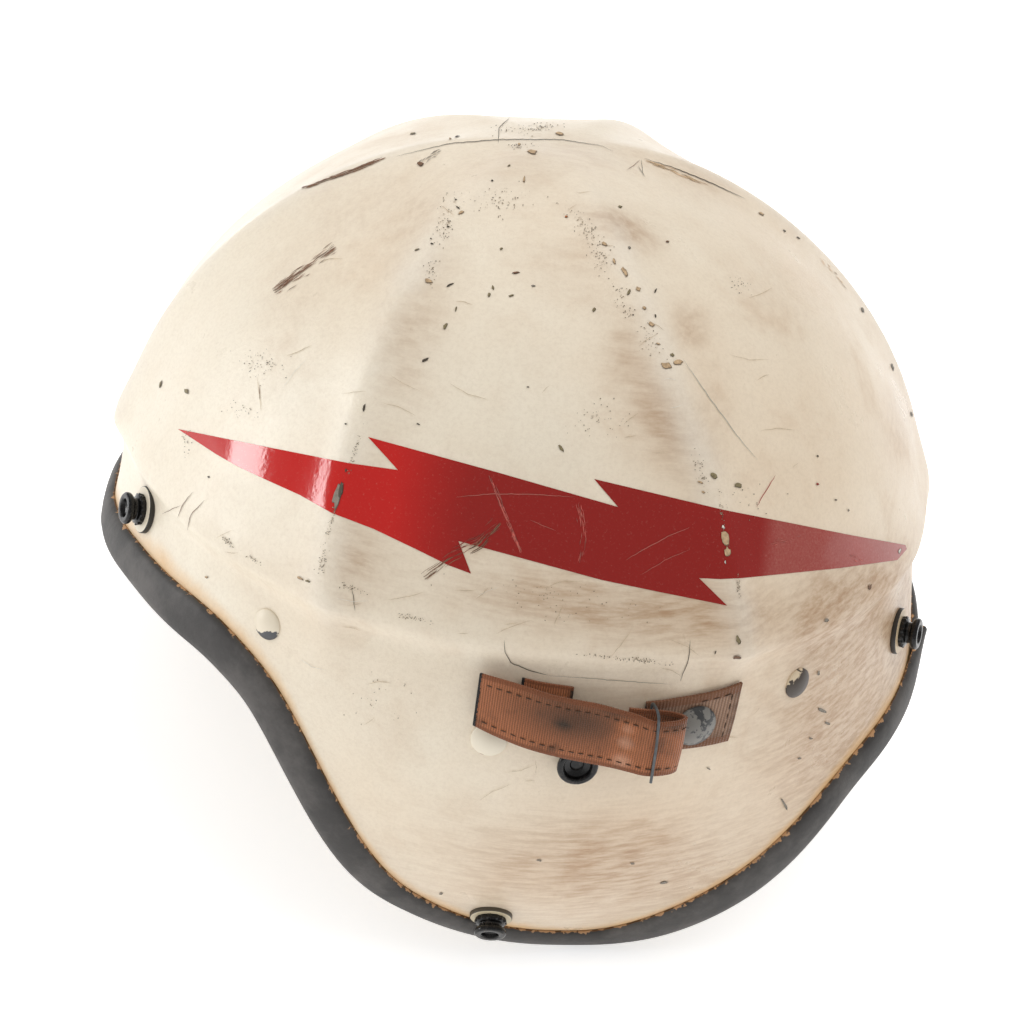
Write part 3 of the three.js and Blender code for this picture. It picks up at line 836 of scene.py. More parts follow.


# Each patch, some of them smudges and some painted shade: x, y, long, short, turn, depth
SMUDGES_AND_SHADE = tuple(SmudgeAndShade(*row) for row in (
    (628, 232, 34, 14, 25, 0.8), (600, 215, 40, 12, 15, 0.4), (690, 329, 22, 18, 60, 0.6),
    (656, 420, 26, 40, 0, 0.45), (420, 215, 30, 40, 30, 0.3), (560, 260, 60, 30, 10, 0.25),
    (625, 350, 20, 45, 20, 0.35), (700, 430, 30, 50, 10, 0.35), (560, 590, 120, 40, 10, 0.3),
    (400, 330, 30, 50, 20, 0.3), (590, 150, 60, 16, 5, 0.3), (350, 210, 60, 30, -30, 0.25),
    (790, 300, 60, 60, 40, 0.12), (900, 420, 20, 50, 0, 0.4), (830, 600, 60, 40, -20, 0.45),
    (890, 620, 30, 80, 20, 0.5), (740, 620, 30, 30, 0, 0.4), (600, 690, 120, 12, 5, 0.35),
    (790, 760, 60, 60, 30, 0.4), (620, 850, 150, 50, 0, 0.5), (520, 172, 60, 22, 0, 0.35),
    (860, 640, 60, 60, 20, 0.85), (560, 610, 130, 26, 10, 0.35), (690, 600, 50, 40, 0, 0.3),
    (370, 560, 40, 30, 20, 0.3), (410, 350, 110, 30, 108, 0.3), (352, 555, 60, 20, 100, 0.45),
    (655, 400, 110, 22, 63, 0.4), (872, 690, 110, 66, 115, 1.3), (600, 880, 190, 50, 0, 0.6),
    (640, 610, 110, 34, 8, 0.35), (715, 610, 50, 30, 0, 0.35), (480, 545, 30, 10, -15, 0.5),
    (700, 180, 40, 20, 30, 0.3), (300, 300, 50, 30, -40, 0.2),
))


def smudge_and_shade_at(pixel: Vector) -> float:
    """Returns how much brown smudge and painted shade the enamel gets where the picture shows it, from 0 to
    1.
    """
    total = 0.0
    for spot in SMUDGES_AND_SHADE:
        turn = math.radians(spot.turn)
        x, y = pixel.x - spot.x, pixel.y - spot.y
        along = (x * math.cos(turn) + y * math.sin(turn)) / spot.long
        aside = (y * math.cos(turn) - x * math.sin(turn)) / spot.short
        total += spot.depth * math.exp(-0.5 * (along * along + aside * aside) * 2)
    return min(total, 1.0)


@dataclass
class Shell:
    """The moulded shell: a fine skin on the helmet's form, with its wall thickness inside."""

    columns: int = 360
    rows: int = 130
    dome_share: float = 0.6
    wall_share: float = 0.965
    channel_foot: float = 3.5
    tree: BVHTree | None = None

    def build(self) -> None:
        """Models and dresses the shell."""
        bm = bmesh.new()
        crest = bm.verts.layers.float.new("crest")
        to_rim = bm.verts.layers.float.new("to_rim")
        smudge_and_shade = bm.verts.layers.float.new("smudge_and_shade")
        middle = Vector((0, 0, FORM.middle_height))

        def place(across: float, down: float, vertex: bmesh.types.BMVert) -> Vector:
            azimuth = 360 * across - 180
            rim_fall = FORM.along_rim("fall", azimuth)
            if down <= self.dome_share:
                angle = 90 * down / self.dome_share
                vertex[crest] = FORM.crest(azimuth, angle)
                vertex[to_rim] = rim_fall + 90 - angle
                return STANCE @ FORM.dome_point(azimuth, angle)
            if down <= self.wall_share:
                share = (down - self.dome_share) / (self.wall_share - self.dome_share)
                fall = rim_fall * share
                vertex[crest] = FORM.crest(azimuth, 90) * math.exp(-fall / FORM.rib_run_out)
                vertex[to_rim] = rim_fall - fall
                return STANCE @ FORM.wall_point(azimuth, fall)
            share = (down - self.wall_share) / (1 - self.wall_share)
            past = (FORM.along_rim("depth", azimuth) - self.channel_foot) * share
            return STANCE @ FORM.past_rim(azimuth, past, 0)

        mapped_grid(bm, self.columns, self.rows, place)
        bmesh.ops.remove_doubles(bm, verts=bm.verts, dist=0.02 * MILLIMETRE)
        bmesh.ops.recalc_face_normals(bm, faces=bm.faces)
        # Brown smudges and painted shade, on the side that faces the view
        upright = STANCE.inverted()
        for vertex in bm.verts:
            own = upright @ vertex.co
            if (own - middle).dot(VIEW.axes()[2]) > 0:
                vertex[smudge_and_shade] = smudge_and_shade_at(VIEW.pixel(own))
        self.tree = BVHTree.FromBMesh(bm)
        piece = piece_from(bm, "helmet_shell", AgedEnamel().build(), Slot.PAINT, ("shell",))
        piece.data.materials.append(Laminate().build())
        wall = piece.modifiers.new("wall", "SOLIDIFY")
        wall.thickness = FORM.wall_thickness * MILLIMETRE
        wall.offset = -1
        wall.material_offset = 1
        wall.material_offset_rim = 1

    def seen_at(self, pixel: tuple[float, float], lift: float) -> Vector:
        """Finds the place on the shell that the photograph shows at a pixel.

        Args:
            pixel: Column and row in the 1024 pixel picture.
            lift: Millimetres above the enamel.

        Returns:
            The place in the frame's metres.
        """
        centre = Vector(VIEW.centre_pixel)
        place = Vector(pixel)
        for _ in range(60):
            eye, direction = VIEW.ray((place.x, place.y))
            hit, normal, _, _ = self.tree.ray_cast(eye, direction)
            if hit is not None:
                return hit + normal * lift * MILLIMETRE
            place = place + (centre - place).normalized() * 0.5
        raise ValueError(f"nothing is seen at {pixel}")


@dataclass
class Ornament:
    """The red zigzag film across the back, laid on the shell as a thin sheet of sign film."""

    shell: Shell
    lift: float = 0.13
    cell_pixels: float = 4.0
    # Corners in the picture, clockwise from the left tip
    corner_pixels: tuple[tuple[float, float], ...] = (
        (178, 429), (262, 446), (348, 463), (398, 470), (368, 437), (496, 472), (618, 507), (594, 479),
        (724, 510), (790, 523), (850, 535), (905, 545), (906.5, 549), (897, 560), (840, 568), (742, 578),
        (721, 579), (699, 578), (727, 605.5), (660, 592), (602, 580), (503, 553), (458.5, 541), (471, 573.5),
        (448, 565), (420, 551), (374, 529), (332, 513), (300, 495), (269, 481), (237, 466), (216, 454),
    )

    def build(self) -> None:
        """Cuts the film to its outline and lays it on the shell."""
        bm = bmesh.new()
        corners = [bm.verts.new((x, y, 0)) for x, y in self.corner_pixels]
        outline = bm.faces.new(corners)
        outline.normal_update()
        bmesh.ops.triangulate(bm, faces=[outline])
        for axis in (Vector((1, 0, 0)), Vector((0, 1, 0))):
            low = min(v.co.dot(axis) for v in bm.verts)
            high = max(v.co.dot(axis) for v in bm.verts)
            for i in range(1, int((high - low) / self.cell_pixels) + 1):
                bmesh.ops.bisect_plane(bm, geom=bm.verts[:] + bm.edges[:] + bm.faces[:], dist=1e-5,
                                       plane_co=axis * (low + i * self.cell_pixels), plane_no=axis)
        for vertex in bm.verts:
            vertex.co = self.shell.seen_at((vertex.co.x, vertex.co.y), self.lift)
        bmesh.ops.remove_doubles(bm, verts=bm.verts, dist=0.02 * MILLIMETRE)
        for face in bm.faces:
            face.normal_update()
            if face.normal.dot(VIEW.ray((512, 512))[1]) > 0:
                face.normal_flip()
        piece_from(bm, "red_ornament", VinylRed().build(), Slot.PAINT)


class Tone(Enum):
    """What a chip or a crack shows."""

    TAN = "#CFAF88"
    GREEN = "#8C7F5C"
    DARK = "#4A4236"
    WHITE = "#F4EFE4"
    GREY = "#8D8578"
    BROWN = "#7A563E"
    BLUE = "#A3ABA6"
    RED = "#A83A34"
    ORANGE = "#C2713E"
    SCRATCH = "#D0BB9A"
    SCUFF = "#BC5A50"
    SMEAR = "#86271D"


TAN, GREEN, DARK, WHITE, GREY, BROWN, BLUE, RED, ORANGE, SCRATCH, SCUFF, SMEAR = Tone


@dataclass(frozen=True)
class Chip:
    """A chip in the enamel, placed and sized in pixels of the picture."""

    x: float
    y: float
    long: float
    short: float
    turn: float
    tone: Tone


@dataclass(frozen=True)
class Crack:
    """A crack, scratch or dragged scuff through places in the picture, with its width in pixels."""

    places: tuple[tuple[float, float], ...]
    width: float
    tone: Tone
    broken: float = 0.0


# Each chip: x, y, long, short, turn, tone
CHIPS = tuple(Chip(*row) for row in (
    (413, 134, 8, 2.4, -12, GREEN), (457, 137, 6, 1.4, -15, DARK), (450, 139, 3, 2, 0, TAN),
    (461, 213, 7, 4, -35, TAN), (458, 208, 5, 2, 40, DARK), (456, 200, 2.4, 1.6, -20, DARK),
    (448, 227, 3, 1.8, 0, DARK), (431, 239, 2.4, 1.6, 0, DARK), (432, 244, 3, 2, 0, DARK),
    (417, 250, 7, 2, -25, GREEN), (492, 181, 2.4, 2, 0, DARK), (509, 166, 5, 1.8, -25, GREEN),
    (524, 180, 7.5, 3, 92, TAN), (532, 152, 13, 5, 10, TAN), (519, 145, 4, 3, 0, TAN),
    (559, 134, 9, 3.6, 12, TAN), (566, 217, 3.4, 3, 0, ORANGE), (501, 249, 3.6, 2.6, -20, GREEN),
    (516, 273, 9, 2.4, -10, BROWN), (428.6, 281, 9, 5, 10, TAN), (450, 285, 8, 2.4, -25, DARK),
    (493, 288, 5, 3, 80, GREEN), (489, 295, 5, 3.4, 110, GREEN), (511, 296, 7, 2.4, -15, GREEN),
    (533, 286, 5, 2, 0, GREY), (456, 309, 5.5, 1.8, 105, GREEN), (445, 327, 8, 4.6, 115, GREEN),
    (425, 360, 8, 3, -25, DARK), (528, 387, 3, 1.6, 0, GREY), (418, 424, 4, 2, 20, DARK),
    (161, 384, 8.5, 3, 108, GREEN), (187, 391, 6, 5, 60, GREEN), (364, 408, 9, 3, 105, DARK),
    (346, 470, 5, 2, 100, DARK), (338, 494, 32, 11, 102, GREY), (341, 490, 18, 5, 100, DARK),
    (604, 244, 8, 4.6, 15, TAN), (614, 261, 7, 3.6, 70, TAN), (624.6, 272, 14, 5.6, 66, TAN),
    (629, 292, 8, 3.6, 115, GREEN), (638, 289, 6, 4.6, 30, TAN), (644, 308, 4.4, 3.6, 40, TAN),
    (651, 324, 8, 5, 40, TAN), (655, 291, 6, 1.8, 115, DARK), (655, 316, 4, 2, 70, DARK),
    (633, 315, 2, 2, 0, DARK), (594, 310, 5.4, 3.6, 120, GREEN), (620, 207, 4, 3, 0, GREEN),
    (629, 248, 3.4, 3, 60, GREY), (667, 242, 4, 3.2, 0, BROWN), (658, 344, 4.4, 2.4, 20, TAN),
    (666, 366, 14, 8, 8, TAN), (678, 362.5, 10, 6, 0, TAN), (672, 355, 5, 4, 30, GREEN),
    (561, 448, 10, 4, 50, GREEN), (714, 476, 9, 8, 60, GREEN), (738, 485, 9, 6, 10, GREEN),
    (700, 482, 6, 3, 20, TAN), (703, 492, 4, 3, 0, TAN), (725, 537, 18, 9, 85, TAN),
    (727, 552, 12, 8, 80, TAN), (899, 551, 7, 3, 110, WHITE), (723, 527, 5, 3, 80, WHITE),
    (725, 562, 4, 2, 80, WHITE), (817, 484, 3.6, 3, 0, RED), (817, 456, 3, 2, 0, DARK),
    (835, 500, 3, 2, 0, DARK), (848, 510, 2, 3, 0, GREY), (826, 620, 6, 4, -20, GREY),
    (869, 587, 7, 4, 120, BROWN), (738, 640, 10, 5, 75, GREEN), (737, 657, 8, 4, -8, BROWN),
    (715, 652, 4, 1.6, 110, DARK), (818, 673, 6, 3, 100, GREY), (822, 710, 9, 5, 30, GREY),
    (827, 723, 6, 3, 20, GREY), (810, 738, 5, 2, 0, GREY), (799, 758, 4, 2, 0, GREY),
    (784, 804, 14, 3, 60, GREY), (708, 768, 5, 2, 30, GREY), (539, 860, 7, 2, 10, GREY),
    (632, 863, 5, 2, 0, GREY), (664, 882, 8, 3, -10, GREY), (441, 893, 4, 2.4, 0, GREY),
    (300, 578, 8, 3.4, 25, TAN), (308, 581, 5, 3, 25, GREEN), (207, 577, 4, 3, 0, TAN),
    (761, 214, 7, 3, 30, TAN), (784, 231, 4, 2, 30, GREY), (798, 238, 5, 2, 30, GREY),
    (862, 310, 7, 3, 60, GREY), (892, 367, 7, 2.4, 75, GREY), (911, 414, 6, 2.4, 80, GREY),
    (420, 164, 7, 6, 0, BROWN), (209, 477, 2.4, 2.4, 0, DARK), (346, 424, 2.4, 2, 0, DARK),
))


@dataclass(frozen=True)
class Pepper:
    """A patch of tiny dark specks, placed and sized in pixels of the picture."""

    x: float
    y: float
    long: float
    short: float
    turn: float
    count: int


# Each patch: x, y, long, short, turn, count
PEPPERS = tuple(Pepper(*row) for row in (
    (640, 660, 34, 2.5, 5, 34), (598, 656, 20, 2, 5, 12), (446, 222, 26, 9, 105, 40),
    (430, 275, 20, 8, 110, 16), (262, 365, 24, 16, 20, 36), (244, 410, 20, 10, 10, 14),
    (520, 130, 26, 6, 0, 24), (545, 127, 20, 4, 0, 16), (522, 147, 16, 4, 0, 14), (500, 200, 40, 14, 0, 40),
    (585, 228, 26, 10, 50, 44), (600, 262, 20, 10, 60, 30), (622, 300, 26, 8, 65, 22),
    (355, 452, 22, 2.5, 108, 26), (332, 520, 26, 2.5, 104, 24), (323, 562, 14, 5, 100, 24),
    (228, 541, 7, 3, 35, 22), (254, 559, 9, 2, 35, 12), (352, 588, 14, 3, 15, 20), (412, 618, 20, 3, 15, 22),
    (738, 585, 14, 2, 85, 16), (722, 520, 26, 2, 82, 20), (700, 470, 20, 6, 70, 18),
    (598, 420, 30, 20, 0, 24), (740, 285, 14, 8, 50, 14), (650, 340, 20, 12, 60, 22),
    (740, 500, 30, 20, 0, 16), (560, 600, 90, 20, 8, 40), (380, 700, 40, 30, 0, 14),
    (186, 440, 6, 14, 0, 10),
))

# Each crack: its places, width, tone and how broken it is
CRACKS = tuple(Crack(*row) for row in (
    (((302, 189), (322, 182), (352, 171), (386, 158)), 3.6, BROWN, 0.1),
    (((416, 168), (428, 157), (441, 150)), 7.0, GREY, 0.45),
    (((274, 292), (296, 275), (318, 260), (336, 247)), 8.0, BROWN, 0.35),
    (((396, 157), (450, 144), (498, 140), (560, 140), (600, 146), (613, 152)), 0.55, DARK),
    (((510, 118), (499, 128), (498, 144)), 0.6, DARK),
    (((645, 161), (674, 171), (696, 181), (708, 187)), 3.0, TAN, 0.1),
    (((644, 159), (676, 169), (712, 184), (745, 199)), 0.7, DARK), (((641, 160), (643, 176)), 0.45, DARK),
    (((818, 257), (835, 274), (847, 289)), 2.6, TAN, 0.5),
    (((504, 640), (505, 652), (512, 663), (530, 670), (548, 675)), 0.75, DARK),
    (((548, 675), (590, 678), (624, 681), (670, 684)), 0.45, GREY),
    (((690, 640), (689, 657), (680, 681)), 0.7, DARK), (((352, 588), (354, 600), (355, 611)), 0.8, GREY),
    (((682, 359), (712, 402), (740, 440), (757, 460)), 0.5, BLUE),
    (((193, 492), (183, 505), (178, 518)), 0.6, BROWN), (((181, 506), (170, 510), (163, 514)), 0.5, BROWN),
    (((205, 500), (191, 515), (188, 530)), 0.6, BROWN), (((260, 386), (260, 400)), 0.6, BROWN),
    (((640, 160), (634, 166), (626, 171)), 0.5, BROWN), (((638, 166), (645, 178)), 0.5, GREY),
    (((756, 507), (766, 490), (775, 475)), 0.8, RED),
    (((490, 475), (500, 500), (511, 527), (521, 553)), 5, SCUFF, 0.5),
    (((578, 503), (581, 520), (583, 540), (580, 563)), 7, SCUFF, 0.6),
    (((456, 497), (490, 494), (530, 494), (575, 497)), 0.9, SCUFF),
    (((625, 560), (648, 547), (670, 535), (690, 527)), 0.9, SCUFF),
    (((640, 575), (665, 560), (690, 549)), 0.6, SCUFF), (((530, 520), (556, 531)), 0.6, SCUFF),
    (((770, 545), (800, 536)), 5, SCUFF, 0.6), (((838, 552), (862, 560)), 5, SCUFF, 0.6),
    (((424, 578), (452, 558), (478, 545), (500, 522)), 8, BROWN, 0.75),
    (((450, 552), (478, 540), (498, 524)), 9, SMEAR, 0.5),
))


@dataclass
class Damage:
    """Chips, cracks and scuffs in the enamel and in the film."""

    shell: Shell
    lift: float = 0.24
    sides: int = 11
    hairlines: int = 80
    unseen: int = 260
    unseen_from: float = 85.0
    middle_pixel: tuple[float, float] = (515, 500)
    reach_pixels: float = 320
    film_row: float = 440
    film_slope: float = 0.14
    film_reach: float = 62
    seed: int = 7
    bm: bmesh.types.BMesh = field(default_factory=bmesh.new)
    tone: bmesh.types.BMLayerItem | None = None
    chance: random.Random = field(default_factory=random.Random)

    def build(self) -> None:
        """Lays every mark on the shell, all as one piece."""
        self.tone = self.bm.verts.layers.float_color.new("tone")
        self.chance.seed(self.seed)
        for chip in CHIPS:
            self._chip(chip)
        for crack in CRACKS:
            self._crack(crack)
        for patch in PEPPERS:
            self._pepper(patch)
        self._hairlines()
        self._out_of_sight()
        for face in self.bm.faces:
            face.normal_update()
            outward = face.calc_center_median() - STANCE @ Vector((0, 0, FORM.middle_height))
            if face.normal.dot(outward) < 0:
                face.normal_flip()
        piece_from(self.bm, "enamel_damage", BareSpot().build(), Slot.PAINT)

    def _out_of_sight(self) -> None:
        """Adds chips on the sides that the picture doesn't show, so that the wear goes all round."""
        middle = STANCE @ Vector((0, 0, self.unseen_from))
        back = STANCE.to_3x3() @ VIEW.axes()[2]
        for _ in range(self.unseen):
            way = Vector([self.chance.gauss(0, 1) for _ in range(3)]).normalized()
            hit, normal, _, _ = self.shell.tree.ray_cast(middle, way)
            if hit is None or normal.dot(back) > -0.05 or way.z < -0.25:
                continue
            normal = normal if normal.dot(way) > 0 else -normal
            turn = Vector((0, 0, 1)).rotation_difference(normal).to_matrix().to_4x4()
            spin = Matrix.Rotation(self.chance.uniform(0, math.tau), 4, "Z")
            long, short = self.chance.choice(((2.4, 1.0), (1.2, 0.7), (0.6, 0.4), (3.2, 0.5)))
            colour = Vector(linear(self.chance.choice((TAN, GREEN, GREY)).value))
            for size, shade, lift in ((1.0, 0.22, self.lift), (0.7, 1.0, self.lift + 0.05)):
                radius = size * MILLIMETRE / 2
                made = bmesh.ops.create_circle(self.bm, cap_ends=True, segments=9, radius=radius)
                for vertex in made["verts"]:
                    vertex[self.tone] = colour * shade
                place = Matrix.Translation(hit + normal * lift * MILLIMETRE) @ turn @ spin
                stretch = Matrix.Diagonal((long, short, 1, 1))
                bmesh.ops.transform(self.bm, matrix=place @ stretch, verts=made["verts"])

    def _pepper(self, patch: Pepper) -> None:
        """Adds the tiny specks of one patch."""
        turn = math.radians(patch.turn)
        for _ in range(patch.count * 2):
            along, aside = self.chance.gauss(0, 0.5) * patch.long, self.chance.gauss(0, 0.5) * patch.short
            middle = Vector((patch.x + along * math.cos(turn) - aside * math.sin(turn),
                             patch.y + along * math.sin(turn) + aside * math.cos(turn)))
            size, stretch = self.chance.uniform(0.2, 0.7), self.chance.uniform(0.6, 1.6)
            shade = Vector(linear(DARK.value)) * self.chance.uniform(1.0, 7.0)
            made = bmesh.ops.create_circle(self.bm, cap_ends=True, segments=5, radius=size)
            for vertex in made["verts"]:
                vertex[self.tone] = shade
                at = middle + Vector((vertex.co.x * stretch, vertex.co.y / stretch))
                vertex.co = self.shell.seen_at((at.x, at.y), self.lift)

    def _hairlines(self) -> None:
        """Adds fine scratches all over the side that the picture shows."""
        for _ in range(self.hairlines):
            around, reach = self.chance.uniform(0, math.tau), math.sqrt(self.chance.random())
            x = self.middle_pixel[0] + self.reach_pixels * reach * math.cos(around)
            y = self.middle_pixel[1] + self.reach_pixels * reach * math.sin(around)
            if abs(y - self.film_row - self.film_slope * x) < self.film_reach:
                continue
            turn = math.radians(self.chance.gauss(-8, 28))
            long = self.chance.uniform(6, 42)
            bow = self.chance.uniform(-0.1, 0.1) * long
            step = Vector((math.cos(turn), math.sin(turn)))
            side = Vector((-step.y, step.x))
            start = Vector((x, y))
            places = (start, start + step * long / 2 + side * bow, start + step * long)
            shade = SCRATCH if self.chance.random() < 0.8 else WHITE
            self._crack(Crack(tuple(tuple(place) for place in places), self.chance.uniform(0.3, 0.5), shade))

    def _chip(self, chip: Chip) -> None:
        """Adds one ragged chip: its broken edge as a dark blot, set off to the lower right as a painted
        shadow of the edge, and the bare ground inside it.
        """
        turn = math.radians(chip.turn)
        colour = Vector(linear(chip.tone.value))
        ragged = [self.chance.uniform(0.6, 1.15) for _ in range(self.sides)]
        inner = 1 - 0.9 / (chip.short + 1.6)
        # The dark blot rings the chip and sits 0.2 pixels down and right, the ground 0.15 up and left, so the
        # dark edge shows most on the lower right as a painted shadow
        for size, shift, shade, lift in ((1.0, 0.2, 0.3, 0.0), (inner, -0.15, 1.0, 0.05)):
            made = bmesh.ops.create_circle(self.bm, cap_ends=True, cap_tris=True, segments=self.sides,
                                           radius=1)
            rim = iter(ragged)
            for vertex in made["verts"]:
                reach = size * (0.0 if vertex.co.length < 0.5 else next(rim))
                x, y = vertex.co.x * reach * chip.long / 2, vertex.co.y * reach * chip.short * 0.43
                pixel = (chip.x + shift + x * math.cos(turn) - y * math.sin(turn),
                         chip.y + shift + x * math.sin(turn) + y * math.cos(turn))
                vertex[self.tone] = colour * shade
                vertex.co = self.shell.seen_at(pixel, self.lift + lift)

    def _crack(self, crack: Crack) -> None:
        """Adds a crack as one fine line, or a scuff as many slivers that run along it."""
        colour = Vector(linear(crack.tone.value))
        places = [Vector(place) for place in crack.places]
        runs = [(b - a).length for a, b in zip(places, places[1:])]
        whole = sum(runs)

        def along(length: float) -> tuple[Vector, Vector]:
            left = min(max(length, 0.0), whole - 1e-6)
            for a, b, run in zip(places, places[1:], runs):
                if left <= run:
                    return a + (b - a) * left / run, (b - a).normalized()
                left -= run
            return places[-1], (places[-1] - places[-2]).normalized()

        if not crack.broken:
            self._sliver(along, (0, whole), (0, 0), crack.width, colour)
            return
        for _ in range(max(3, round(whole * crack.width * (1 - crack.broken) / 7))):
            start = self.chance.uniform(-0.05, 0.9) * whole
            end = min(start + self.chance.uniform(0.08, 0.3) * whole, whole)
            aside = self.chance.gauss(0, 0.28) * crack.width
            drift = aside + self.chance.uniform(-0.12, 0.12) * crack.width
            shade = colour * self.chance.uniform(0.6, 1.6)
            width = self.chance.uniform(0.3, 0.9)
            self._sliver(along, (start, end), (aside, drift), width, shade)

    def _sliver(self, along: Callable[[float], tuple[Vector, Vector]],
                ends: tuple[float, float], asides: tuple[float, float], width: float,
                colour: Vector) -> None:
        """Adds one tapered sliver.

        Args:
            along: Gives the place and direction at a length in pixels.
            ends: First and last length.
            asides: Pixels to the side at its two ends.
            width: Width at its middle, in pixels.
            colour: Linear colour.
        """
        cells = max(2, round((ends[1] - ends[0]) / 4))
        made = bmesh.ops.create_grid(self.bm, x_segments=cells, y_segments=1, size=1)
        shifts = [self.chance.uniform(-0.35, 0.35) for _ in range(cells + 1)]
        for vertex in made["verts"]:
            share = (vertex.co.x + 1) / 2
            centre, way = along(ends[0] + (ends[1] - ends[0]) * share)
            side = Vector((-way.y, way.x))
            taper = 1 - 0.85 * abs(2 * share - 1) ** 3
            shift = asides[0] + (asides[1] - asides[0]) * share + shifts[round(share * cells)]
            at = centre + side * (shift + vertex.co.y * width / 2 * taper)
            vertex[self.tone] = colour
            vertex.co = self.shell.seen_at((at.x, at.y), self.lift)


# Edging


@dataclass
class Edging:
    """The rubber channel round the rim, with one loose end that peels away behind the right ear."""

    lip: float = 2.6
    inner_lip: float = 2.1
    gap: float = 0.1
    foot: float = 3.5
    seam: float = -82.5
    seam_gap: float = 0.4
    free_run: float = 9.0
    free_lift: float = 3.6
    free_rise: float = 2.4
    columns: int = 400

    def section(self, depth: float) -> list[tuple[float, float, float]]:
        """Returns the channel's outline at a depth.

        Args:
            depth: Millimetres from the end of the paint to the rubber's outer edge.

        Returns:
            Rows of past, lift and the share of peeling, round the section.
        """
        inside = -FORM.wall_thickness - self.gap
        seat = depth - self.foot + self.gap
        outer = [(-0.1, self.gap, 1.0), (0.0, 0.5, 1.0), (0.15, 0.9, 1.0), (0.6, 0.56 * self.lip, 1.0),
                 (1.6, 0.8 * self.lip, 0.95)]
        outer += [(depth * s, self.lip * (1.08 - 0.34 * (2 * s - 1) ** 2), 0.9 * (1 - s))
                  for s in (0.3, 0.45, 0.6, 0.75)]
        thick = (self.lip - inside + self.inner_lip) / 2
        centre = self.lip - thick
        bow = [(depth - 2.6 + 2.6 * math.cos(a), centre + thick * math.sin(a) * 0.92, 0.05)
               for a in (math.radians(d) for d in (62, 38, 14, -10, -34, -58))]
        inner = [(depth * 0.6, inside - self.inner_lip, 0), (5.0, inside - self.inner_lip, 0),
                 (4.0, inside - 0.7 * self.inner_lip, 0), (3.6, inside, 0), (seat, inside, 0),
                 (seat, self.gap, 0.05)]
        return outer + bow + inner

    def build(self) -> None:
        """Models and dresses the edging."""
        bm = bmesh.new()
        girth = bm.verts.layers.float.new("girth")
        corners = len(self.section(12.0))
        first = self.seam + self.seam_gap / 2
        span = 360 - self.seam_gap

        def place(across: float, down: float, vertex: bmesh.types.BMVert) -> Vector:
            azimuth = first + span * down
            row = round(across * corners) % corners
            section = self.section(FORM.along_rim("depth", azimuth))
            past, lift, peel = section[row]
            way = min(max((self.seam + self.free_run - azimuth) / self.free_run, 0.0), 1.0)
            opened = way * way * peel
            vertex[girth] = sum(math.dist(a[:2], b[:2]) for a, b in zip(section[:row], section[1:row + 1]))
            past -= opened * self.free_rise
            return STANCE @ FORM.past_rim(azimuth, past, lift + opened * self.free_lift)

        mapped_grid(bm, corners, self.columns, place)
        bmesh.ops.remove_doubles(bm, verts=bm.verts, dist=0.01 * MILLIMETRE)
        bmesh.ops.holes_fill(bm, edges=[e for e in bm.edges if e.is_boundary], sides=0)
        bmesh.ops.recalc_face_normals(bm, faces=bm.faces)
        piece_from(bm, "rubber_edging", Rubber().build(), Slot.RUBBER, ("edging",))


# Studs and rivets


@dataclass(frozen=True)
class Seat:
    """A place on the wall for a turned piece."""

    azimuth: float
    fall: float
    lift: float = 0.0

    def matrix(self) -> Matrix:
        """Returns the matrix that stands a turned piece there, its axis out and its Y up the wall."""
        foot = FORM.wall_point(self.azimuth, self.fall, self.lift)
        out = (FORM.wall_point(self.azimuth, self.fall, self.lift + 1) - foot).normalized()
        up = (FORM.wall_point(self.azimuth, self.fall - 1, self.lift) - foot).normalized()
        turn = Matrix((up.cross(out), up, out)).transposed().to_4x4()
        return STANCE @ Matrix.Translation(foot) @ turn


TOOTH_SHARE = 0.08


def turned_piece(name: str, profile: Sequence[tuple[float, float]], seat: Seat,
                 material: bpy.types.Material, slot: Slot, stands_for: Sequence[str],
                 teeth: tuple[float, float, int] | None = None, steps: int = 72) -> None:
    """Turns a profile of radius and height rows into a closed piece on the wall.

    Args:
        name: The piece's name.
        profile: Radius and height rows, from the axis back to the axis.
        seat: Where it stands.
        material: Its finish.
        slot: The slot of that finish; not used.
        stands_for: CAD nodes that it replaces.
        teeth: Lowest height, highest height and number of teeth of a toothed band, or None.
        steps: Number of steps round.
    """
    bm = bmesh.new()
    spot = bm.verts.layers.float_vector.new("spot")
    widest = max(radius for radius, _ in profile)
    stand = seat.matrix()

    def place(across: float, down: float, vertex: bmesh.types.BMVert) -> Vector:
        radius, height = profile[round(down * (len(profile) - 1))]
        turn = math.tau * across
        if teeth and teeth[0] <= height <= teeth[1]:
            radius *= 1 + TOOTH_SHARE * math.cos(teeth[2] * turn)
        own = Vector((radius * math.cos(turn), radius * math.sin(turn), height))
        vertex[spot] = own / widest
        return stand @ own

    mapped_grid(bm, steps, len(profile) - 1, place)
    bmesh.ops.remove_doubles(bm, verts=bm.verts, dist=0.004 * MILLIMETRE)
    bmesh.ops.recalc_face_normals(bm, faces=bm.faces)
    piece_from(bm, name, material, slot, stands_for)


def rounded(profile: Sequence[tuple[float, float]], radius: float = 0.18) -> list[tuple[float, float]]:
    """Rounds the corners of a turned profile with three points each.

    Args:
        profile: Radius and height rows.
        radius: How far from a corner its rounding starts.

    Returns:
        The finer profile.
    """
    fine = [profile[0]]
    for before, corner, after in zip(profile, profile[1:], profile[2:]):
        here = Vector(corner)
        back, forth = Vector(before) - here, Vector(after) - here
        cut = min(radius, back.length * 0.45, forth.length * 0.45)
        start, end = here + back.normalized() * cut, here + forth.normalized() * cut
        middle = (start + end) / 4 + here / 2
        fine += [tuple(start), tuple(middle), tuple(end)]
    fine.append(profile[-1])
    return fine


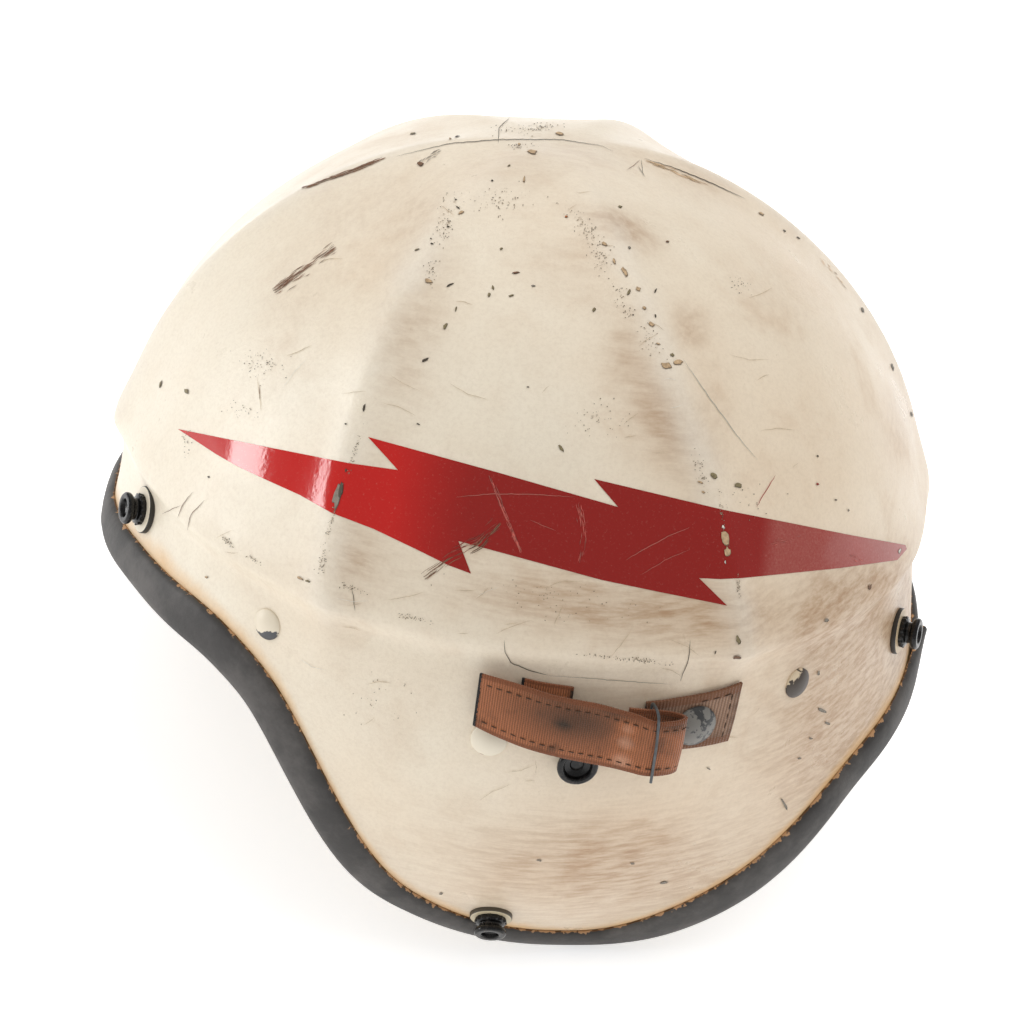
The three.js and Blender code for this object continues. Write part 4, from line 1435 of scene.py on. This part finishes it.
@dataclass(frozen=True)
class PressStud:
    """A press stud on its plate: toothed skirt, waist, and a dished flange with a blind socket."""

    name: str
    seat: Seat
    skirt: float
    waist: float
    flange: float
    height: float
    dish: float
    plate: float = 0.0
    plate_thickness: float = 1.0
    plate_finish: WornPaintedMetal | None = None

    def build(self, lacquer: bpy.types.Material) -> None:
        """Makes the stud, and its plate if it has one.

        Args:
            lacquer: The black finish that all studs share.
        """
        base = self.seat.lift
        if self.plate:
            top = self.plate_thickness
            profile = [(0, -0.5), (self.plate, -0.5), (self.plate, top - 0.3), (self.plate - 0.35, top),
                       (self.plate * 0.8, top), (self.plate * 0.72, top + 0.1), (0, top + 0.1)]
            turned_piece(f"{self.name}_disc", rounded(profile, 0.2), self.seat, self.plate_finish.build(),
                         Slot.AGED_METAL, (f"{self.name}_plate",))
            base += self.plate_thickness
        skirt, waist, high, flange, dish = self.skirt, self.waist, self.height, self.flange, self.dish
        profile = [(0, -0.3), (skirt, -0.3), (skirt, 1.5), (skirt - 0.5, 1.9), (waist, 2.2),
                   (waist, high - 2.6), (flange - 0.5, high - 2.2), (flange, high - 1.5),
                   (flange, high - 0.5), (flange - 0.5, high), (dish + 0.35, high), (dish, high - 0.3),
                   (dish * 0.9, high - 1.5), (dish * 0.5, high - 1.9), (dish * 0.42, high - 2.4),
                   (0, high - 2.4)]
        seat = Seat(self.seat.azimuth, self.seat.fall, base)
        turned_piece(f"{self.name}_spool", rounded(profile), seat, lacquer, Slot.BLACK_METAL, (self.name,),
                     (0.2, 1.5, 14))


@dataclass(frozen=True)
class DomedRivet:
    """A rivet with a low domed head."""

    name: str
    seat: Seat
    radius: float
    height: float
    edge: float
    finish: WornPaintedMetal
    slot: Slot

    def build(self) -> None:
        """Makes the rivet."""
        profile = [(0, -0.4), (self.radius, -0.4), (self.radius, self.edge * 0.6),
                   (self.radius - 0.25, self.edge)]
        for i in range(7, -1, -1):
            part = i / 8
            profile.append((self.radius * part, self.edge + (self.height - self.edge) * (1 - part * part)))
        turned_piece(f"{self.name}_head", profile, self.seat, self.finish.build(), self.slot, (self.name,))


# Strap


@dataclass(frozen=True)
class StrapStation:
    """One station of a strip: its azimuth, its lift off the wall, and the falls of its two edges."""

    azimuth: float
    lift: float
    top: float
    low: float


@dataclass
class Strip:
    """A flat woven strip that follows its stations, smooth from one to the next."""

    name: str
    stations: tuple[StrapStation, ...]
    thickness: float
    cloth: RibbedCloth
    slot: Slot
    stands_for: tuple[str, ...]
    # Each spot: millimetres along and across, reach, and depth: above zero it darkens the strip, with soil in
    # some spots and painted shade in others; below zero it lightens it, as a painted highlight
    soil_and_shade_spots: tuple[tuple[float, float, float, float], ...] = ()
    cells_along: int = 160
    cells_across: int = 14
    lengths: list[float] = field(default_factory=list)

    def at(self, share: float) -> StrapStation:
        """Returns the station at a share of the strip's run, by a curve through its stations."""
        where = min(max(share, 0.0), 1.0) * (len(self.stations) - 1)
        i = min(int(where), len(self.stations) - 2)
        t = where - i
        rows = [self.stations[min(max(k, 0), len(self.stations) - 1)] for k in (i - 1, i, i + 1, i + 2)]

        def curve(column: str) -> float:
            a, b, c, d = (getattr(row, column) for row in rows)
            return 0.5 * (2 * b + (c - a) * t + (2 * a - 5 * b + 4 * c - d) * t * t
                          + (3 * b - a - 3 * c + d) * t ** 3)

        return StrapStation(*(curve(column) for column in ("azimuth", "lift", "top", "low")))

    def point(self, share: float, across: float, out: float = 0.0) -> Vector:
        """Returns a place on the strip.

        Args:
            share: Share of its run, from its first station.
            across: Share of its width, from its top edge.
            out: Millimetres off its middle plane, towards its face.

        Returns:
            The place in the frame's metres.
        """
        station = self.at(share)
        fall = station.top + (station.low - station.top) * across
        place = FORM.wall_point(station.azimuth, fall, station.lift)
        if out:
            before, after = self.at(share - 0.01), self.at(share + 0.01)
            ahead = (FORM.wall_point(after.azimuth, fall, after.lift)
                     - FORM.wall_point(before.azimuth, fall, before.lift))
            down = FORM.wall_point(station.azimuth, fall + 1, station.lift) - place
            place += down.cross(ahead).normalized() * out
        return STANCE @ place

    def measure(self) -> None:
        """Works out the length along the strip at each cell."""
        self.lengths = [0.0]
        for i in range(self.cells_along):
            a = self.point(i / self.cells_along, 0.5)
            b = self.point((i + 1) / self.cells_along, 0.5)
            self.lengths.append(self.lengths[-1] + (b - a).length / MILLIMETRE)

    def share_at(self, length: float) -> float:
        """Returns the share of the run at a length in millimetres from the first station."""
        for i, (a, b) in enumerate(zip(self.lengths, self.lengths[1:])):
            if b >= length:
                return (i + (length - a) / max(b - a, 1e-6)) / self.cells_along
        return 1.0

    def build(self) -> None:
        """Models and dresses the strip."""
        self.measure()
        bm = bmesh.new()
        soil_and_shade = bm.verts.layers.float.new("soil_and_shade")
        uv = bm.loops.layers.uv.new("cloth")
        cells: dict[bmesh.types.BMVert, tuple[float, float]] = {}

        def place(across: float, down: float, vertex: bmesh.types.BMVert) -> Vector:
            length = self.lengths[round(across * self.cells_along)]
            cells[vertex] = (length, down * self.cloth.width)
            marks = [depth * math.exp(-((length - along) / reach) ** 2
                                      - ((down * self.cloth.width - aside) / (reach * 0.3 + 1.2)) ** 2)
                     for along, aside, reach, depth in self.soil_and_shade_spots]
            vertex[soil_and_shade] = max([mark for mark in marks if mark > 0], default=0.0) + min([*marks, 0.0])
            wave = 0.15 * math.sin(length * 0.37) * math.cos(down * 5)
            return self.point(across, down, wave)

        mapped_grid(bm, self.cells_along, self.cells_across, place)
        for face in bm.faces:
            for loop in face.loops:
                loop[uv].uv = cells[loop.vert]
        piece = piece_from(bm, self.name, self.cloth.build(), self.slot, self.stands_for)
        body = piece.modifiers.new("cloth", "SOLIDIFY")
        body.thickness = self.thickness * MILLIMETRE
        body.offset = 0
        body.use_even_offset = True
        edge = piece.modifiers.new("edge", "BEVEL")
        edge.width = 0.25 * MILLIMETRE
        edge.segments = 2
        edge.limit_method = "ANGLE"
        edge.angle_limit = math.radians(50)

    def stitches(self, name: str, thread: Thread, runs: Iterable[tuple[float, float, float, float, float]],
                 pitch: float = 3.0, length: float = 2.1) -> None:
        """Sews rows of stitches on the strip.

        Args:
            name: The piece's name.
            thread: The thread's finish.
            runs: Rows of first length, last length, first across, last across, and their jitter.
            pitch: Millimetres from stitch to stitch.
            length: Length of one stitch in millimetres.
        """
        bm = bmesh.new()
        chance = random.Random(3)
        for first, last, across_first, across_last, jitter in runs:
            widthways = across_last - across_first
            count = max(1, int(math.hypot(last - first, widthways * self.cloth.width) / pitch))
            for i in range(count):
                shares = ((i + 0.15) / count, (i + 0.15 + length / pitch) / count)
                ends = []
                for share in shares:
                    across = across_first + widthways * share + chance.uniform(-jitter, jitter)
                    along = self.share_at(first + (last - first) * share)
                    ends.append(self.point(along, across, self.thickness / 2 + 0.12))
                self._stitch(bm, ends[0], ends[1])
        piece_from(bm, name, thread.build(), self.slot)

    def _stitch(self, bm: bmesh.types.BMesh, start: Vector, end: Vector) -> None:
        """Adds one stitch as a small thread bead from start to end."""
        made = bmesh.ops.create_icosphere(bm, subdivisions=1, radius=1)
        along = end - start
        turn = Vector((1, 0, 0)).rotation_difference(along.normalized()).to_matrix().to_4x4()
        size = Matrix.Diagonal((along.length / 2, 0.24 * MILLIMETRE, 0.24 * MILLIMETRE, 1))
        middle = Matrix.Translation((start + end) / 2)
        bmesh.ops.transform(bm, matrix=middle @ turn @ size, verts=made["verts"])


GROSGRAIN = RibbedCloth("copper_grosgrain", "#BC734C", "#85522F", "#33271A", 0.78, 1.3, 18.2, burnt_end=0.9)
WEBBING = RibbedCloth("worn_brown_webbing", "#A4826B", "#7A5C47", "#5A3D29", 1.1, 2.6, 18.5, hem="#74492E")

# Each station: azimuth, lift, top, low
BAND = tuple(StrapStation(*row) for row in (
    (10.2, 3.7, 8.8, 25.8), (7, 4.6, 9.4, 27.8), (3, 5.4, 10.8, 30), (-1.2, 6, 12.4, 31.6),
    (-5.5, 6, 13.6, 33.2), (-8.6, 6.6, 15.2, 34.2), (-10.8, 7.9, 16.2, 34.8), (-13, 9.7, 17.4, 35.2),
    (-15.4, 9.9, 17.6, 35.2), (-16.9, 9.2, 17.4, 35), (-17.4, 7.8, 17.2, 34.9), (-16.7, 6.1, 17, 34.8),
    (-15.2, 4.9, 16.6, 34.4), (-12.6, 4.5, 16, 33.8), (-10, 4.5, 15.4, 33.2),
))
TAB = (StrapStation(4.6, 1.1, 9.4, 23), StrapStation(1.2, 1.2, 10.2, 24), StrapStation(-2.5, 1.1, 10.9, 25))
# Each station: azimuth, lift, top, low
PATCH = tuple(StrapStation(*row) for row in (
    (-12.8, 1.05, 15.2, 32.4), (-16.3, 1.05, 14.6, 32.5), (-19.8, 1.05, 13.8, 32.5),
    (-23.2, 1.05, 12.6, 32.2), (-26.6, 1.05, 11, 31.6),
))


@dataclass
class GoggleStrap:
    """The strap at the back: anchor patch, tab, folded band, their stitches and the wire pin."""

    pin_radius: float = 0.45
    pin_course: tuple[tuple[float, float, float], ...] = (
        (-13.4, 20, 2.8), (-13.3, 15.2, 2.9), (-13.2, 14.2, 4.4), (-13.1, 14.2, 8), (-13.1, 15.2, 10.4),
        (-13.2, 17.8, 11.1), (-13.5, 27, 11.2), (-13.8, 37, 10.9),
    )

    def build(self) -> None:
        """Makes all the pieces of the strap."""
        # The band's spots: soil across its middle; painted shade along its top edge and, at 62 and 70 mm, in
        # the opening of its loop; a painted highlight at 47 mm, where it turns
        band = Strip("grosgrain_band", BAND, 1.1, GROSGRAIN, Slot.GROSGRAIN, ("strap_band",),
                     soil_and_shade_spots=((20, 6, 4, 0.7), (27.5, 7.6, 6.5, 1.0), (31, 6, 20, 0.8), (39, 9, 5, 0.6),
                                 (26, 0, 14, 0.7), (42, 0, 12, 0.8), (62, 0, 9, 0.9), (70, 0, 9, 0.9),
                                 (47, 9, 3.5, -0.9), (47, 15, 3, -0.8), (47, 5, 3, -0.8)))
        band.build()
        length = band.lengths[-1]
        band.stitches("band_stitches_top", Thread("umber_thread", "#4E3019"),
                      ((2, length, 0.17, 0.15, 0.006),))
        band.stitches("band_stitches_low", Thread("brown_thread", "#5A3A24"),
                      ((2, length, 0.84, 0.87, 0.006),))
        tab = Strip("grosgrain_tab", TAB, 1.1, GROSGRAIN, Slot.GROSGRAIN, ("strap_tab",), cells_along=60,
                    soil_and_shade_spots=((15.7, 1, 0.9, 1.3), (15.9, 3.4, 1.1, 1.3), (15.7, 6, 1, 1.3)))
        tab.build()
        patch = Strip("webbing_patch", PATCH, 1.1, WEBBING, Slot.WEBBING, ("strap_patch",), cells_along=60,
                      soil_and_shade_spots=((30.5, 3, 1.8, 0.8), (30.5, 7, 1.8, 0.8), (30.5, 11, 1.8, 0.8),
                                  (30.5, 15, 1.8, 0.8), (2, 2, 6, 0.7), (10, 2.4, 7, 0.5), (22, 12, 5, 0.35)))
        patch.build()
        reach = patch.lengths[-1]
        patch.stitches("patch_stitches", Thread("dark_thread", "#4A3222"),
                       ((reach - 3.2, reach - 3.2, 0.1, 0.92, 0.01),
                        (reach - 14, reach - 3, 0.12, 0.12, 0.01)))
        self._pin()

    def _pin(self) -> None:
        """Makes the wire pin that hooks over the band."""
        data = bpy.data.curves.new("wire_pin", "CURVE")
        data.dimensions = "3D"
        data.bevel_depth = self.pin_radius * MILLIMETRE
        data.bevel_resolution = 4
        data.use_fill_caps = True
        data.resolution_u = 8
        spline = data.splines.new("NURBS")
        spline.points.add(len(self.pin_course) - 1)
        for point, row in zip(spline.points, self.pin_course):
            point.co = (*(STANCE @ FORM.wall_point(*row)), 1)
        spline.use_endpoint_u = True
        spline.order_u = 3
        pin = put("wire_pin", data)
        data.materials.append(DullWire().build())
        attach(pin, BODY)
        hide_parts("strap_pin")


@dataclass
class Hardware:
    """Press studs and rivets."""

    studs: tuple[PressStud, ...] = (
        PressStud("ear_stud_left", Seat(73.5, 12.3, 0.15), 4.8, 3.4, 5, 6, 2.9, 7.4, 1.3,
                  WornPaintedMetal("left_ear_plate_paint", "#E6DAC4", "#2E2B27", 0.98, (0.3, 0, 0), 0.965)),
        PressStud("ear_stud_right", Seat(-67.2, 24, 0.15), 4.8, 3.4, 5, 6, 2.9, 7.4, 1.2,
                  WornPaintedMetal("right_ear_plate_paint", "#CDB694", "#2E2B27", 0.98, (0.2, 0.1, 0),
                                   0.965)),
        PressStud("nape_stud", Seat(2.3, 117.2, 0.15), 4.8, 3.6, 5, 5.6, 2.7, 6.7, 1.1,
                  WornPaintedMetal("nape_plate_paint", "#D3C4A4", "#4B4334", 0.84, (0, 0.1, 0), 0.96)),
        PressStud("strap_stud", Seat(-4.5, 36, 0.1), 5, 4, 6.3, 4.9, 4.4),
    )
    rivets: tuple[DomedRivet, ...] = (
        DomedRivet("shell_rivet_left", Seat(41.8, 16.5, 0.1), 4.9, 1.8, 0.5,
                   WornPaintedMetal("left_rivet_paint", cut=0.92, lean=(0.1, -0.8, 0)), Slot.RIVET_PAINT),
        DomedRivet("shell_rivet_right", Seat(-38, 18, 0.1), 4.9, 1.8, 0.5,
                   WornPaintedMetal("right_rivet_paint", "#D9C6A8", "#453B33", 0.2, (0.35, -0.4, 0)),
                   Slot.RIVET_PAINT),
        DomedRivet("nape_rivet", Seat(7.8, 32, 0.1), 5.6, 2.4, 0.6,
                   WornPaintedMetal("nape_rivet_paint", "#E2D8C4", "#8A5A3A", 1.12, (-0.35, -0.35, 0)),
                   Slot.RIVET_PAINT),
        DomedRivet("strap_rivet", Seat(-20.5, 24, 2.0), 6.8, 2.9, 0.5,
                   WornPaintedMetal("strap_rivet_metal", "#77746E", "#383838", cut=0.58), Slot.RIVET_METAL),
    )

    def build(self) -> None:
        """Makes every stud and rivet."""
        lacquer = LacqueredMetal().build()
        for stud in self.studs:
            stud.build(lacquer)
        for rivet in self.rivets:
            rivet.build()


@dataclass(frozen=True)
class Studio:
    """Pale floor and soft light from the upper left, as in a product photograph."""

    shell: Shell
    floor_side: float = 12.0
    floor_glow: float = 0.6
    sky: float = 0.4
    key_size: float = 0.28
    key_height: float = 1.5
    key_power: float = 7.0
    gleam_power: float = 9.0
    key_distance: float = 1.5
    # The gleam stands just in front of the key, so that neither hides the other
    gleam_nearness: float = 0.98
    aim_height: float = 0.11
    # Where the picture shows the key light mirrored: its middle, its top and its low end on the film
    key_pixels: tuple[tuple[float, float], ...] = ((244, 462), (239, 440), (252, 486))

    def build(self) -> None:
        """Makes the floor, the lights and the white surroundings."""
        self._floor()
        right, up, back = ((STANCE.to_3x3() @ axis).normalized() for axis in VIEW.axes())
        aim = Vector((0, 0, self.aim_height))
        (lit, middle), (_, top), (_, low) = (self._mirrored(pixel) for pixel in self.key_pixels)
        key = self._softbox("key", lit, middle - lit, self.key_size, self.key_power)
        nearer = (middle - lit) * self.gleam_nearness
        gleam = self._softbox("gleam", lit, nearer, self.key_size, self.gleam_power)
        facing = (middle - lit).normalized()
        upright = key.rotation_euler.to_matrix().col[1]
        # Half way between upright and the film's own slant, the mirrored band stands straight in the picture
        height = ((top - low).normalized() + upright).normalized()
        height = (height - facing * height.dot(facing)).normalized()
        for lamp in (key, gleam):
            lamp.data.shape = "RECTANGLE"
            lamp.data.size_y = self.key_height
            lamp.rotation_euler = Matrix((height.cross(facing), height, facing)).transposed().to_euler()
        # The gleam only shows in what mirrors it
        gleam.visible_diffuse = False
        self._softbox("wash", aim, (up * 650 + back * 950 - right * 950) * MILLIMETRE, 1.3, 4.6, False)
        self._softbox("fill", aim, (right * 650 + up * 950 + back * 750) * MILLIMETRE, 1.6, 10.9, False)
        self._softbox("top", aim, (up * 1300 - back * 100) * MILLIMETRE, 1.4, 3.2)
        world = bpy.data.worlds.new("studio")
        bpy.context.scene.world = world
        world.use_nodes = True
        world.node_tree.nodes.clear()
        sky = add_node(world.node_tree, "ShaderNodeBackground", None,
                       {"Color": linear("#FFFFFF"), "Strength": self.sky})
        add_node(world.node_tree, "ShaderNodeOutputWorld", None, {"Surface": sky.outputs["Background"]})
        bpy.context.scene.view_settings.view_transform = "Standard"

    def _mirrored(self, pixel: tuple[float, float]) -> tuple[Vector, Vector]:
        """Returns a pixel's spot on the shell and the place that it mirrors at the key light's distance."""
        eye, sight = VIEW.ray(pixel)
        lit, normal, _, _ = self.shell.tree.ray_cast(eye, sight)
        return lit, lit + sight.reflect(normal) * self.key_distance

    def _floor(self) -> None:
        """Makes the pale floor."""
        bm = bmesh.new()
        bmesh.ops.create_grid(bm, x_segments=1, y_segments=1, size=self.floor_side / 2)
        mesh = bpy.data.meshes.new("floor")
        bm.to_mesh(mesh)
        bm.free()
        mesh.materials.append(Look("pale_floor").close({
            "Base Color": linear("#FAFAFA"), "Roughness": 0.9,
            "Emission Color": linear("#FFFFFF"), "Emission Strength": self.floor_glow}))
        put("floor", mesh)

    def _softbox(self, name: str, aim: Vector, offset: Vector, size: float, power: float,
                 mirrored: bool = True) -> bpy.types.Object:
        """Makes one square area light that faces the helmet.

        Args:
            name: The light's name.
            aim: Where it points, in metres.
            offset: From the aim to the light, in metres.
            size: Side in metres.
            power: Watts.
            mirrored: Whether glossy pieces mirror it.

        Returns:
            The light.
        """
        data = bpy.data.lights.new(name, "AREA")
        data.shape = "SQUARE"
        data.size = size
        data.energy = power
        lamp = put(name, data)
        lamp.visible_glossy = mirrored
        lamp.location = aim + offset
        lamp.rotation_euler = (aim - lamp.location).to_track_quat("-Z", "Y").to_euler()
        return lamp


def main() -> None:
    """Builds the helmet's looks in order and reports each piece."""
    logging.basicConfig(level=logging.INFO, format="%(name)s: %(message)s")
    VIEW.camera()
    shell = Shell()
    shell.build()
    Ornament(shell).build()
    Damage(shell).build()
    Edging().build()
    Hardware().build()
    GoggleStrap().build()
    Studio(shell).build()


if __name__ == "__main__":
    main()
